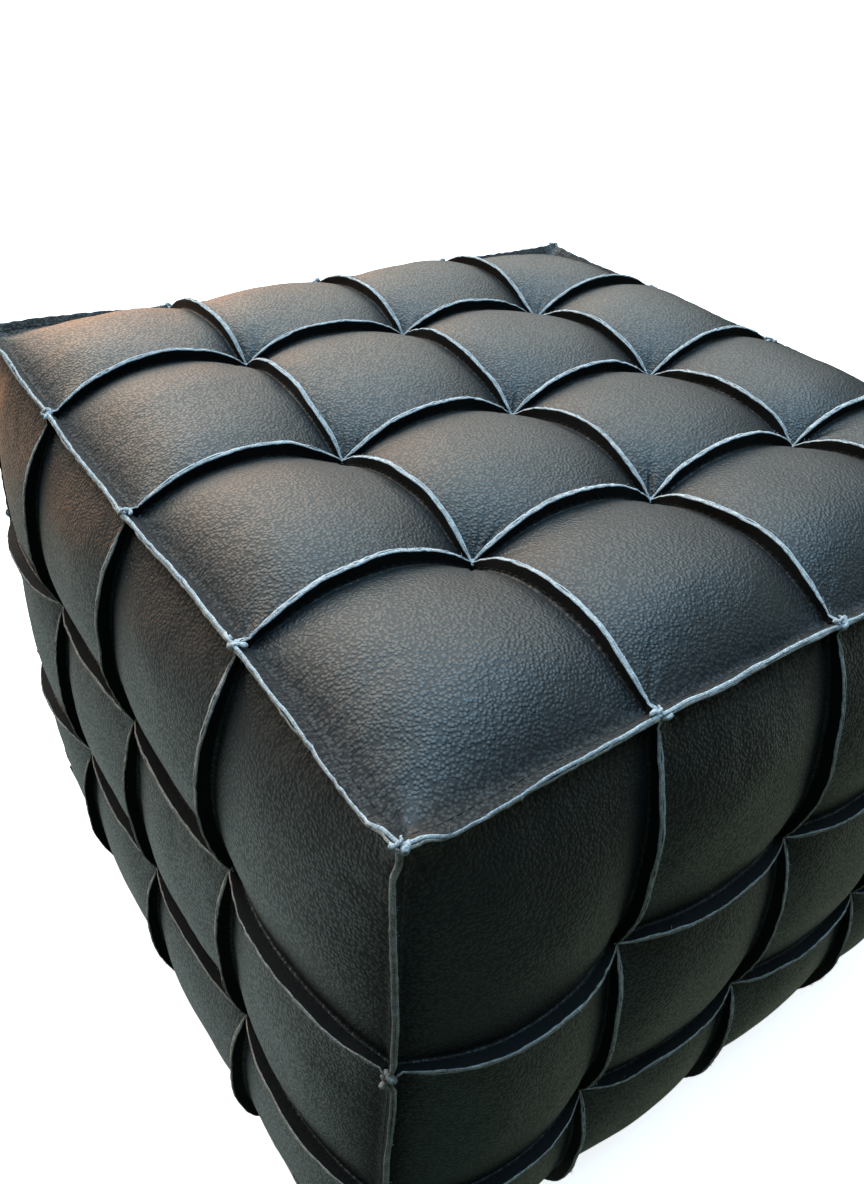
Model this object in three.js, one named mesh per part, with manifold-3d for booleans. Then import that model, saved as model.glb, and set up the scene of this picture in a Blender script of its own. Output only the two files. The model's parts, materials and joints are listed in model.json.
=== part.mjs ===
// A cube-shaped leather pouf: pillowed leather squares sewn with their seam allowances turned
// outwards, over wadding and a foam core, with a zip in the base.
// Millimetres, +Z up, the floor at z = 0 and the pouf's middle on the Z axis.

import * as THREE from 'three';
import Module from 'manifold-3d';

const wasm = await Module();
wasm.setup();

// ---------------------------------------------------------------- driving dimensions

const COLUMNS = 4;                  // squares along each side of the top and of a side face
const ROWS = 3;                     // squares down a side face
const PITCH = 120;                  // width of a square, seam to seam
const ROW_PITCH = 133.5;            // height of a side square, seam to seam
const LEATHER = 1.3;                // thickness of the leather
const SEAM_GAP = 0.15;              // from a seam's middle plane to the leather on each side of it
const FLANGE_MID = 8.5;             // height of a seam's standing allowance halfway along a square
const FLANGE_NODE = 5.5;            // and where seams cross
const TOP_TURN = 6;                 // how far the top edge's sloping allowance rises above its seam

// How far a seam arches out between two crossings: a seam along u or along v, in the squares next
// to the pouf's edges (edge) and in the others (inner).
const TOP_RISE = { alongU: { edge: 18.5, inner: 18 }, alongV: { edge: 18.5, inner: 18 } };
const SIDE_RISE = { alongU: { edge: 15, inner: 9 }, alongV: { edge: 9, inner: 9 } };
const LEFT_RISE = { alongU: { edge: 9.5, inner: 5 }, alongV: { edge: 11.5, inner: 9 } };

const TOP_CROWN = 9;                // how far a square's middle stands out beyond its seams
const SIDE_CROWN = 5.5;
const SIDE_BOW = 10;                // how far the middle of a side face bellies out
const LEFT_BOW = 5;
const SAG = { front: 0.6, right: 0, back: 0, left: -0.5 };      // how much lower or higher it does so
const CORNER_BOW = 5.5;             // how far an upright edge bellies out in X and in Y
const ARC_POWER = 2.2;              // flatness of a seam's arch
const DOME_POWER = 2.5;             // flatness of a square's crown
const BOW_POWER = 4;                // flatness of a face's belly

const PAD = 22;                     // thickness of the wadding
const PAD_CLEARANCE = 1;            // from the wadding to the leather and to its neighbours
const PAD_EDGE_DROP = 1.3;          // how much further the wadding stays from the leather along its edges
const TWINE = 2;                    // diameter of the tufting twine
const TWINE_ROOM = 3.2;             // space for the twine between the wadding and the foam
const TWINE_HOLE = 2.8;             // diameter of the twine's holes through the wadding
const SQUEEZE = 1;                  // how much the foam is larger than the room left for it
const GAP = 0.3;                    // clearance between pieces that touch

const SLIT_HALF = 208;              // half the length of the slit in the base
const SLIT_SIDE = 14;               // from the middle of the slit to a base panel's hem
const HEM = 8.7;                    // height of a turned-up hem
const TAPE_THICKNESS = 0.6;
const TAPE_INNER = 0.9;             // from the middle to a tape's inner edge
const TAPE_OUTER = 26;
const TAPE_HALF = 196;              // half the length of the zip
const COIL_INNER = 0.7;             // from the middle to a coil's inner side
const COIL_OUTER = 2.9;
const COIL_HEIGHT = 2.1;
const STOP_AT = 183;                // from the middle to a zip stop
const STOP_HALF = 2;                // half the length of a stop
const SLIDER_AT = 173;              // the slider's place when the zip is shut
const SLIDER_LENGTH = 9;
const SLIDER_SIDE = 4.6;            // half the slider's width
const NOSE_SIDE = 2.8;              // and half its width at the nose
const WING = 1.2;                   // thickness of the slider's wings, lips and lugs
const POST_LENGTH = 2.5;            // of the wedge that parts the coils
const POST_HALF = 0.4;
const PIN_RADIUS = 0.8;
const EYE_RADIUS = 1.9;             // of the pull's eye around the pin
const EYE_BORE = 1.1;
const NECK_WIDTH = 3;               // of the pull at its eye
const NECK_END = 6;                 // from the pin to the end of the neck
const BLADE_START = 9;              // and to where the blade has its full width
const PULL_LENGTH = 24;
const PULL_WIDTH = 7;
const PULL_THICKNESS = 1.4;
const THUMB_HOLE = 1.8;             // radius of the hole in the pull

// ---------------------------------------------------------------- worked-out levels

const HALF = (COLUMNS * PITCH) / 2;
const BASE_SEAM = LEATHER + SEAM_GAP;
const TOP_SEAM = BASE_SEAM + ROWS * ROW_PITCH - TOP_TURN;
const RAW_EDGE = SEAM_GAP + LEATHER;    // from a seam's middle plane to the outer face of one leather
const FOAM_HALF = HALF - LEATHER - PAD_CLEARANCE - PAD - TWINE_ROOM + SQUEEZE;
const FOAM_TOP = TOP_SEAM - LEATHER - PAD_CLEARANCE - PAD - TWINE_ROOM + SQUEEZE;
const ZIP_ROOM = 14;                    // height left for the zip under the foam
const TAPE_Z = HEM + GAP;
const TAPE_TOP = TAPE_Z + TAPE_THICKNESS;
const COIL_Z = TAPE_Z - GAP - COIL_HEIGHT;
const LOWER_WING = COIL_Z - GAP - WING;
const UPPER_WING = TAPE_TOP + GAP;
const PIN_Z = LOWER_WING - GAP - EYE_RADIUS;

// ---------------------------------------------------------------- materials

function material(color, roughness, metalness = 0) {
  return new THREE.MeshStandardMaterial({ color, roughness, metalness });
}

const leather = () => material(0x2b2b2c, 0.5);
const wadding = () => material(0xe4e0d6, 0.95);
const foam = () => material(0xe9dfb8, 0.9);
const twine = () => material(0xd8d2c2, 0.85);
const tape = () => material(0x151515, 0.9);
const nylon = () => material(0x1a1a1a, 0.5);
const zinc = () => material(0x8d8b86, 0.35, 0.9);

const pouf = new THREE.Group();

function add(name, geometry, surface) {
  const mesh = new THREE.Mesh(geometry, surface);
  mesh.name = name;
  pouf.add(mesh);
  return mesh;
}

// ---------------------------------------------------------------- booleans

function solid(geometry) {
  const loose = geometry.index ? geometry.toNonIndexed() : geometry;
  const places = loose.attributes.position;
  const corner = (_, k) => new THREE.Vector3().fromBufferAttribute(places, k);
  const merged = fromTriangles(Array.from({ length: places.count }, corner));
  return new wasm.Manifold(new wasm.Mesh({
    numProp: 3,
    vertProperties: new Float32Array(merged.attributes.position.array),
    triVerts: new Uint32Array(merged.index.array),
  }));
}

function geometryOf(manifold) {
  const mesh = manifold.getMesh();
  const geometry = new THREE.BufferGeometry();
  geometry.setAttribute('position', new THREE.BufferAttribute(mesh.vertProperties, 3));
  geometry.setIndex(new THREE.BufferAttribute(mesh.triVerts, 1));
  return geometry;
}

function joined(geometries) {
  return geometryOf(geometries.map(solid).reduce((all, one) => all.add(one)));
}

function cut(geometry, cutters) {
  return geometryOf(cutters.map(solid).reduce((left, one) => left.subtract(one), solid(geometry)));
}

function block(x0, x1, y0, y1, z0, z1) {
  const box = new THREE.BoxGeometry(x1 - x0, y1 - y0, z1 - z0);
  return box.translate((x0 + x1) / 2, (y0 + y1) / 2, (z0 + z1) / 2);
}

function rod(from, to, diameter, sides = 6) {
  const along = new THREE.Vector3().subVectors(to, from);
  const middle = new THREE.Vector3().addVectors(from, to).multiplyScalar(0.5);
  const geometry = new THREE.CylinderGeometry(diameter / 2, diameter / 2, along.length(), sides);
  const turn = new THREE.Quaternion();
  turn.setFromUnitVectors(new THREE.Vector3(0, 1, 0), along.normalize());
  return geometry.applyQuaternion(turn).translate(middle.x, middle.y, middle.z);
}

// ---------------------------------------------------------------- the faces of the pouf

// A face has u to the right and v upwards as it is looked at from outside, and out along its normal.
// u and v count squares from the lower left corner.

const TOP = {
  name: 'top',
  u: new THREE.Vector3(1, 0, 0),
  v: new THREE.Vector3(0, 1, 0),
  out: new THREE.Vector3(0, 0, 1),
  squares: [COLUMNS, COLUMNS],
  rise: TOP_RISE,
  crown: TOP_CROWN,
};

function sideFace(name, quarterTurns) {
  const angle = quarterTurns * Math.PI / 2;
  const turn = (vector) => vector.applyAxisAngle(new THREE.Vector3(0, 0, 1), angle).round();
  return {
    name,
    u: turn(new THREE.Vector3(1, 0, 0)),
    v: new THREE.Vector3(0, 0, 1),
    out: turn(new THREE.Vector3(0, -1, 0)),
    squares: [COLUMNS, ROWS],
    rise: name === 'left' ? LEFT_RISE : SIDE_RISE,
    crown: SIDE_CROWN,
    bow: name === 'left' ? LEFT_BOW : SIDE_BOW,
    sag: SAG[name],
  };
}

const SIDES = ['front', 'right', 'back', 'left'].map(sideFace);

const arc = (t) => 1 - Math.abs(2 * t - 1) ** ARC_POWER;
const dome = (t) => 1 - Math.abs(2 * t - 1) ** DOME_POWER;
const belly = (t) => 1 - Math.abs(2 * t - 1) ** BOW_POWER;

// The rise of a seam between two crossings: none along the pouf's edges.
function seamRise(rise, line, lines, cell, cells) {
  if (line === 0 || line === lines) {
    return 0;
  }
  return cell === 0 || cell === cells - 1 ? rise.edge : rise.inner;
}

// How far the leather of square (i, j) stands out at (a, b) across it.
function puff(face, i, j, a, b) {
  const [across, up] = face.squares;
  const { alongU, alongV } = face.rise;
  const low = seamRise(alongU, j, up, i, across);
  const high = seamRise(alongU, j + 1, up, i, across);
  const left = seamRise(alongV, i, across, j, up);
  const right = seamRise(alongV, i + 1, across, j, up);
  const overU = arc(a) * (low * (1 - b) + high * b);
  const overV = arc(b) * (left * (1 - a) + right * a);
  const shared = overU * overV / Math.max(alongU.edge, alongV.edge);
  return overU + overV - shared + face.crown * dome(a) * dome(b);
}

// The seam surface: the middle of the seam lines, with each square puffed out from them.
function surfacePoint(face, i, j, a, b) {
  const [across, up] = face.squares;
  const s = (i + a) / across;
  const t = (j + b) / up;
  if (face === TOP) {
    return new THREE.Vector3(HALF * (2 * s - 1), HALF * (2 * t - 1), TOP_SEAM + puff(face, i, j, a, b));
  }
  const height = BASE_SEAM + t * (TOP_SEAM - BASE_SEAM);
  const edge = CORNER_BOW * belly(t);
  const bow = face.bow * belly(s) * belly(t) * (1 + face.sag * (1 - 2 * t));
  const out = HALF + edge + bow + puff(face, i, j, a, b);
  return new THREE.Vector3(0, 0, height)
    .addScaledVector(face.u, (HALF + edge) * (2 * s - 1))
    .addScaledVector(face.out, out);
}

// The seam along one edge of a square: own points away from the seam's middle plane to this square,
// and tilt is added to the face's outward normal to give the way that the allowance stands. Along
// the pouf's edges the allowance slopes halfway between the two faces, except at the base.
function lean(face, i, j, side) {
  const [across, up] = face.squares;
  const outside = { left: i === 0, right: i === across - 1, low: j === 0, high: j === up - 1 }[side];
  const away = {
    left: face.u.clone().negate(),
    right: face.u.clone(),
    low: face.v.clone().negate(),
    high: face.v.clone(),
  }[side];
  const isBase = outside && face !== TOP && side === 'low';
  const tilt = outside && !isBase ? away : new THREE.Vector3();
  const inward = away.clone().negate();
  const own = outside && !isBase ? inward.add(face.out).normalize() : inward;
  return { tilt, own };
}

// A point of the square's rim. du and dv are its distances from the middle planes of the seams at
// the left or right and at the low or high edge, and height is its place up the allowance.
function rimPoint(face, i, j, a, b, du, dv, height) {
  const point = surfacePoint(face, i, j, a, b);
  const edges = [];
  if (a === 0 || a === 1) {
    edges.push([lean(face, i, j, a === 0 ? 'left' : 'right'), du]);
  }
  if (b === 0 || b === 1) {
    edges.push([lean(face, i, j, b === 0 ? 'low' : 'high'), dv]);
  }
  const up = face.out.clone();
  edges.forEach(([edge]) => up.add(edge.tilt));
  point.addScaledVector(up, up.length() > 1 ? height / Math.SQRT2 : height);
  if (edges.length === 1) {
    return point.addScaledVector(edges[0][0].own, edges[0][1]);
  }
  const [[first, d1], [second, d2]] = edges;
  const c = first.own.dot(second.own);
  return point
    .addScaledVector(first.own, (d1 - c * d2) / (1 - c * c))
    .addScaledVector(second.own, (d2 - c * d1) / (1 - c * c));
}

// The height of the standing allowance. It keeps its full height along the pouf's edges, and is
// pinched down where seams cross within a face.
function allowance(face, i, j, a, b) {
  const [across, up] = face.squares;
  const s = i + a;
  const t = j + b;
  if (s === 0 || s === across || t === 0 || t === up) {
    return FLANGE_MID;
  }
  return FLANGE_NODE + (FLANGE_MID - FLANGE_NODE) * belly(a === 0 || a === 1 ? b : a);
}

// ---------------------------------------------------------------- closed bodies from two grids

// front and back are grids of points of one size. The front faces out, and the two are joined
// around their borders. Points that coincide are merged, and the empty triangles dropped.
function closedGrid(front, back) {
  const rows = front.length;
  const columns = front[0].length;
  const corners = [];
  const triangle = (p, q, r) => corners.push(p, q, r);
  const quad = (p, q, r, s) => {
    triangle(p, q, r);
    triangle(p, r, s);
  };
  for (let r = 0; r < rows - 1; r += 1) {
    for (let c = 0; c < columns - 1; c += 1) {
      quad(front[r][c], front[r][c + 1], front[r + 1][c + 1], front[r + 1][c]);
      quad(back[r][c], back[r + 1][c], back[r + 1][c + 1], back[r][c + 1]);
    }
  }
  const border = [];
  for (let c = 0; c < columns - 1; c += 1) {
    border.push([0, c]);
  }
  for (let r = 0; r < rows - 1; r += 1) {
    border.push([r, columns - 1]);
  }
  for (let c = columns - 1; c > 0; c -= 1) {
    border.push([rows - 1, c]);
  }
  for (let r = rows - 1; r > 0; r -= 1) {
    border.push([r, 0]);
  }
  border.forEach(([r, c], k) => {
    const [nextR, nextC] = border[(k + 1) % border.length];
    quad(back[r][c], back[nextR][nextC], front[nextR][nextC], front[r][c]);
  });
  return fromTriangles(corners);
}

// A closed body from the corners of its triangles, three by three.
function fromTriangles(corners) {
  const keys = new Map();
  const points = [];
  const index = corners.map((point) => {
    const key = point.toArray().map((value) => Math.round(value * 1000)).join(' ');
    if (!keys.has(key)) {
      keys.set(key, points.length);
      points.push(point);
    }
    return keys.get(key);
  });
  const kept = [];
  for (let k = 0; k < index.length; k += 3) {
    const [p, q, r] = index.slice(k, k + 3);
    if (p !== q && q !== r && r !== p) {
      kept.push(p, q, r);
    }
  }
  const values = points.flatMap((point) => point.toArray());
  const geometry = new THREE.BufferGeometry();
  geometry.setAttribute('position', new THREE.Float32BufferAttribute(values, 3));
  geometry.setIndex(kept);
  return geometry;
}

// ---------------------------------------------------------------- leather squares

const SAMPLES = [0, 0.2, 0.5, 0.8, 1];      // the places across a square that its solid has points at

// The lines across a run of squares: each square's samples, the solid ridge of the seam between
// two squares of the run, and the two rims of the allowance at each end of it.
function runLines(first, last) {
  const lines = [{ cell: first, t: 0, rim: 2 }, { cell: first, t: 0, rim: 1 }];
  for (let cell = first; cell <= last; cell += 1) {
    SAMPLES.forEach((t) => lines.push({ cell, t, rim: 0 }));
    if (cell < last) {
      lines.push({ cell, t: 1, rim: 1 }, { cell: cell + 1, t: 0, rim: 1 });
    }
  }
  lines.push({ cell: last, t: 1, rim: 1 }, { cell: last, t: 1, rim: 2 });
  return lines;
}

// One piece of leather: the squares of column i from row firstRow to row lastRow.
function leatherRun(face, i, firstRow, lastRow) {
  const columns = runLines(i, i);
  const rows = runLines(firstRow, lastRow);
  const isEnd = (row) => (row.t === 0 && row.cell === firstRow) || (row.t === 1 && row.cell === lastRow);
  const onRim = (row, column) => row.t === 0 || row.t === 1 || column.t === 0 || column.t === 1;
  const front = rows.map((row) => columns.map((column) => {
    if (!onRim(row, column)) {
      return surfacePoint(face, i, row.cell, column.t, row.t);
    }
    const rim = Math.max(row.rim, column.rim);
    const away = rim === 2 ? SEAM_GAP : RAW_EDGE;
    const awayV = isEnd(row) ? away : RAW_EDGE;
    const height = rim === 0 ? 0 : allowance(face, i, row.cell, column.t, row.t);
    return rimPoint(face, i, row.cell, column.t, row.t, away, awayV, height);
  }));
  const back = rows.map((row) => columns.map((column) => {
    if (!onRim(row, column)) {
      return surfacePoint(face, i, row.cell, column.t, row.t).addScaledVector(face.out, -LEATHER);
    }
    const awayV = isEnd(row) ? SEAM_GAP : 0;
    return rimPoint(face, i, row.cell, column.t, row.t, SEAM_GAP, awayV, -LEATHER);
  }));
  return closedGrid(front, back);
}

for (let row = 0; row < COLUMNS; row += 1) {
  for (let column = 0; column < COLUMNS; column += 1) {
    add(`top_panel_${row + 1}_${column + 1}`, leatherRun(TOP, column, row, row), leather());
  }
}

SIDES.forEach((face) => {
  for (let column = 0; column < COLUMNS; column += 1) {
    add(`${face.name}_strip_${column + 1}`, leatherRun(face, column, 0, ROWS - 1), leather());
  }
});

// ---------------------------------------------------------------- filling and tufting twine

function crossings(face) {
  const [across, up] = face.squares;
  const found = [];
  for (let j = 1; j < up; j += 1) {
    for (let i = 1; i < across; i += 1) {
      found.push([i, j]);
    }
  }
  return found;
}

function crossingPoint(face, [i, j]) {
  return surfacePoint(face, i, j, 0, 0);
}

// The place behind a crossing in the plane that the twine runs in, between the pad and the foam.
function twinePlane(face, point) {
  const level = (face === TOP ? FOAM_TOP : FOAM_HALF) + TWINE_ROOM / 2 - GAP;
  return point.clone().addScaledVector(face.out, level - point.dot(face.out));
}

// A pad's outer face follows the leather through the corners and middles of the squares. Its edges
// are mitred against the neighbouring pads, and its back is flat.
function padGeometry(face) {
  const [across, up] = face.squares;
  const inner = LEATHER + PAD_CLEARANCE;
  const level = (face === TOP ? FOAM_TOP : FOAM_HALF) + TWINE_ROOM;
  const halves = (cells) => {
    const steps = Array.from({ length: 2 * cells }, (_, k) => [Math.floor(k / 2), (k % 2) / 2]);
    return [...steps, [cells - 1, 1]];
  };
  const outer = (i, a, j, b) => {
    const point = surfacePoint(face, i, j, a, b);
    const atSide = (i === 0 && a === 0) || (i === across - 1 && a === 1);
    const atEnd = (j === 0 && b === 0) || (j === up - 1 && b === 1);
    if (!atSide && !atEnd) {
      return { point: point.addScaledVector(face.out, -inner), inwards: face.out };
    }
    const edgeA = atSide ? a : 0.5;
    const edgeB = atEnd ? b : 0.5;
    const drop = -inner * PAD_EDGE_DROP;
    const shift = rimPoint(face, i, j, edgeA, edgeB, PAD_CLEARANCE, PAD_CLEARANCE, drop);
    point.add(shift.sub(surfacePoint(face, i, j, edgeA, edgeB)));
    const inwards = face.out.clone();
    if (atSide) {
      inwards.add(lean(face, i, j, a === 0 ? 'left' : 'right').tilt);
    }
    if (atEnd) {
      inwards.add(lean(face, i, j, b === 0 ? 'low' : 'high').tilt);
    }
    return { point, inwards };
  };
  const behind = ({ point, inwards }) => {
    return point.clone().addScaledVector(inwards, level - point.dot(face.out));
  };
  const sheet = halves(up).map(([j, b]) => halves(across).map(([i, a]) => outer(i, a, j, b)));
  const front = sheet.map((row) => row.map(({ point }) => point));
  const back = sheet.map((row) => row.map(behind));
  const holes = crossings(face).map((crossing) => {
    const top = crossingPoint(face, crossing);
    return rod(twinePlane(face, top), top, TWINE_HOLE);
  });
  return cut(closedGrid(front, back), holes);
}

// The stretches of the twine: their widths, and how far they run on past both ends. They differ a
// little, so that no two of their faces coincide where they meet.
const TWINE_RUN = { width: TWINE, past: 0.9 };
const TWINE_TURN = { width: 0.94 * TWINE, past: 0.6 };
const TWINE_LEG = { width: 0.88 * TWINE, past: 0.4 };

function stretch(from, to, { width, past }) {
  const along = to.clone().sub(from).normalize();
  const start = from.clone().addScaledVector(along, -past);
  return rod(start, to.clone().addScaledVector(along, past), width);
}

// One length of twine laced behind the pad, row by row, with a leg out to each crossing.
function twineGeometry(face) {
  const perRow = face.squares[0] - 1;
  const found = crossings(face);
  const places = found.map((crossing) => twinePlane(face, crossingPoint(face, crossing)));
  const rowStarts = Array.from({ length: face.squares[1] - 1 }, (_, k) => k * perRow);
  const rows = rowStarts.map((start) => places.slice(start, start + perRow));
  const runs = rows.map((row) => stretch(row[0], row[perRow - 1], TWINE_RUN));
  const turns = rows.slice(1).map((row, k) => {
    const end = k % 2 === 0 ? perRow - 1 : 0;
    return stretch(rows[k][end], row[end], TWINE_TURN);
  });
  const depth = LEATHER + GAP + TWINE_LEG.past;
  const legs = found.map((crossing) => {
    const knot = crossingPoint(face, crossing).addScaledVector(face.out, -depth);
    return stretch(twinePlane(face, knot), knot, TWINE_LEG);
  });
  return joined([...runs, ...turns, ...legs]);
}

function foamGeometry() {
  const profile = new THREE.Shape();
  const low = LEATHER + GAP;
  profile.moveTo(-FOAM_HALF, low);
  profile.lineTo(-TAPE_OUTER - LEATHER, low);
  profile.lineTo(-TAPE_OUTER - LEATHER, ZIP_ROOM);
  profile.lineTo(TAPE_OUTER + LEATHER, ZIP_ROOM);
  profile.lineTo(TAPE_OUTER + LEATHER, low);
  profile.lineTo(FOAM_HALF, low);
  profile.lineTo(FOAM_HALF, FOAM_TOP);
  profile.lineTo(-FOAM_HALF, FOAM_TOP);
  profile.closePath();
  const geometry = new THREE.ExtrudeGeometry(profile, { depth: 2 * FOAM_HALF, bevelEnabled: false });
  return geometry.rotateX(Math.PI / 2).rotateZ(Math.PI / 2).translate(-FOAM_HALF, 0, 0);
}

[TOP, ...SIDES].forEach((face) => {
  add(`wadding_${face.name}`, padGeometry(face), wadding());
  add(`tufting_twine_${face.name}`, twineGeometry(face), twine());
});
add('foam_core', foamGeometry(), foam());

// ---------------------------------------------------------------- base panels

// side is -1 for the front half and 1 for the back half.
function basePanel(side) {
  const edge = HALF + FLANGE_MID;
  const outline = new THREE.Shape();
  outline.moveTo(-edge, side * edge);
  outline.lineTo(edge, side * edge);
  outline.lineTo(edge, side * SEAM_GAP);
  outline.lineTo(SLIT_HALF, side * SEAM_GAP);
  outline.lineTo(SLIT_HALF, side * SLIT_SIDE);
  outline.lineTo(-SLIT_HALF, side * SLIT_SIDE);
  outline.lineTo(-SLIT_HALF, side * SEAM_GAP);
  outline.lineTo(-edge, side * SEAM_GAP);
  outline.closePath();
  const sheet = new THREE.ExtrudeGeometry(outline, { depth: LEATHER, bevelEnabled: false });
  const inner = Math.min(side * SLIT_SIDE, side * (SLIT_SIDE + LEATHER));
  const hem = block(-SLIT_HALF, SLIT_HALF, inner, inner + LEATHER, 0, HEM);
  return joined([sheet, hem]);
}

// ---------------------------------------------------------------- zip

function mirrored(side, inner, outer) {
  return side < 0 ? [-outer, -inner] : [inner, outer];
}

function zipTape(side) {
  const [y0, y1] = mirrored(side, TAPE_INNER, TAPE_OUTER);
  return block(-TAPE_HALF, TAPE_HALF, y0, y1, TAPE_Z, TAPE_TOP);
}

// A coil's turns lie so close together that its outline is a plain bar.
function zipCoil(side) {
  const [y0, y1] = mirrored(side, COIL_INNER, COIL_OUTER);
  const half = STOP_AT - 2 * STOP_HALF;
  return block(-half, half, y0, y1, COIL_Z, COIL_Z + COIL_HEIGHT);
}

// A stop is crimped over both tapes: a plate under them, a plate over them and a post between.
function zipStop(direction) {
  const x0 = direction * STOP_AT - STOP_HALF;
  const x1 = direction * STOP_AT + STOP_HALF;
  const side = COIL_OUTER + 1;
  const top = TAPE_TOP + 1;
  const low = block(x0, x1, -side, side, COIL_Z, TAPE_Z - GAP);
  const post = block(x0, x1, GAP - TAPE_INNER, TAPE_INNER - GAP, COIL_Z, top);
  const high = block(x0, x1, -side, side, TAPE_TOP + GAP, top);
  return joined([low, post, high]);
}

// A wing has its full width over its back half and narrows in a curve to its nose.
function wing(z) {
  const half = SLIDER_LENGTH / 2;
  const outline = new THREE.Shape();
  outline.moveTo(-half, -NOSE_SIDE);
  outline.quadraticCurveTo(-half / 2, -SLIDER_SIDE, 0, -SLIDER_SIDE);
  outline.lineTo(half, -SLIDER_SIDE);
  outline.lineTo(half, SLIDER_SIDE);
  outline.lineTo(0, SLIDER_SIDE);
  outline.quadraticCurveTo(-half / 2, SLIDER_SIDE, -half, NOSE_SIDE);
  outline.closePath();
  const options = { depth: WING, bevelEnabled: false, curveSegments: 4 };
  return new THREE.ExtrudeGeometry(outline, options).translate(0, 0, z);
}

// A rod along Y through (x, 0, z), half its length to each side.
function crossRod(x, z, half, radius, sides) {
  return rod(new THREE.Vector3(x, -half, z), new THREE.Vector3(x, half, z), 2 * radius, sides);
}

// Two wings joined by the wedge between the coils, lips that hold the coils together, and two lugs
// that carry the pull's pin.
function sliderGeometry() {
  const half = SLIDER_LENGTH / 2;
  const lugInner = NECK_WIDTH / 2 + GAP;
  const lugHalf = PIN_RADIUS + 0.7;
  const wedge = block(half - POST_LENGTH, half, -POST_HALF, POST_HALF, LOWER_WING, UPPER_WING + WING);
  const lips = [-1, 1].map((side) => {
    const [y0, y1] = mirrored(side, SLIDER_SIDE - 1, SLIDER_SIDE);
    return block(0, half, y0, y1, LOWER_WING, COIL_Z + WING);
  });
  const lugs = [-1, 1].map((side) => {
    const [y0, y1] = mirrored(side, lugInner, lugInner + 1);
    return block(-lugHalf, lugHalf, y0, y1, PIN_Z - lugHalf + 0.2, LOWER_WING + 0.2);
  });
  const pin = crossRod(0, PIN_Z, lugInner + 0.5, PIN_RADIUS, 12);
  return joined([wing(LOWER_WING), wing(UPPER_WING), wedge, ...lips, ...lugs, pin]);
}

// The pull lies flat under the slider, pointing along the zip. It narrows to an eye around the pin.
function pullGeometry() {
  const neck = NECK_WIDTH / 2;
  const half = PULL_WIDTH / 2;
  const beyond = 9;
  const eye = crossRod(0, 0, neck, EYE_RADIUS, 16);
  const bore = crossRod(0, 0, beyond, EYE_BORE, 12);
  const blade = new THREE.Shape();
  blade.moveTo(-EYE_BORE, -neck);
  blade.lineTo(-NECK_END, -neck);
  blade.lineTo(-BLADE_START, -half);
  blade.absarc(-PULL_LENGTH + half, 0, half, -Math.PI / 2, -3 * Math.PI / 2, true);
  blade.lineTo(-BLADE_START, half);
  blade.lineTo(-NECK_END, neck);
  blade.lineTo(-EYE_BORE, neck);
  blade.closePath();
  const options = { depth: PULL_THICKNESS, bevelEnabled: false, curveSegments: 10 };
  const plate = new THREE.ExtrudeGeometry(blade, options).translate(0, 0, -PULL_THICKNESS / 2);
  const hole = new THREE.CylinderGeometry(THUMB_HOLE, THUMB_HOLE, beyond, 16);
  hole.rotateX(Math.PI / 2).translate(-PULL_LENGTH + half, 0, 0);
  return cut(joined([eye, plate]), [bore, hole]);
}

[['front', -1], ['back', 1]].forEach(([name, side]) => {
  add(`base_panel_${name}`, basePanel(side), leather());
  add(`zip_tape_${name}`, zipTape(side), tape());
  add(`zip_coil_${name}`, zipCoil(side), nylon());
});
add('zip_top_stop', zipStop(1), zinc());
add('zip_bottom_stop', zipStop(-1), zinc());
add('zip_slider', sliderGeometry(), zinc()).position.set(SLIDER_AT, 0, 0);
add('zip_pull', pullGeometry(), zinc()).position.set(SLIDER_AT, 0, PIN_Z);

export default pouf;
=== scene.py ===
import json
import math

import bmesh
import bpy
import numpy as np
from mathutils import Matrix, Vector

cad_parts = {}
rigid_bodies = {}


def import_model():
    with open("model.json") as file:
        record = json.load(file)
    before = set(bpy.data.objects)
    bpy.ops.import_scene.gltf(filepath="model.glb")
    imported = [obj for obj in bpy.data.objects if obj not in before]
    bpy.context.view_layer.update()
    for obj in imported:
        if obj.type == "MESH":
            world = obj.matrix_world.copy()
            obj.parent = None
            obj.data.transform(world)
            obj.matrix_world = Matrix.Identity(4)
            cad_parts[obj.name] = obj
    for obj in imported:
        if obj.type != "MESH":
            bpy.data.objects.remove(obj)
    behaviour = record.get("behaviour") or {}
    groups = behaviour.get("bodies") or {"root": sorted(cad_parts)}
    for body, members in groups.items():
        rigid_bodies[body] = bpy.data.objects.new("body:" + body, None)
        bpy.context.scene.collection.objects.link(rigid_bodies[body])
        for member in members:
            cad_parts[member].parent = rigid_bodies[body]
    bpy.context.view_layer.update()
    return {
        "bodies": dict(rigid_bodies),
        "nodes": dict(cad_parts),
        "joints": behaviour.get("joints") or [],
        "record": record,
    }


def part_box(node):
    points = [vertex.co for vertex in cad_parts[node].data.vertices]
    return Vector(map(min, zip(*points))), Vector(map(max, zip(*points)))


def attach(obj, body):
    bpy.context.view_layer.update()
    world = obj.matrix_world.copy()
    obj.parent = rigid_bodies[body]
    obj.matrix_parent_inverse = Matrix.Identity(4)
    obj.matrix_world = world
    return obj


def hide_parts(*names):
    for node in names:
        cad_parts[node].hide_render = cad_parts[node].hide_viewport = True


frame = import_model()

# ---------------------------------------------------------------- sizes, from the frame
# Shapes are worked out in millimetres and turned into metres when a mesh is made.

MM = 0.001
COLUMNS = 4                       # squares along each side of the top and of a side face
ROWS = 3                          # squares down a side face


def box_mm(node):
    low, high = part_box(node)
    return np.array(low) / MM, np.array(high) / MM


inner_low, inner_high = box_mm("top_panel_2_2")
strip_low, strip_high = box_mm("front_strip_2")

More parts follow.
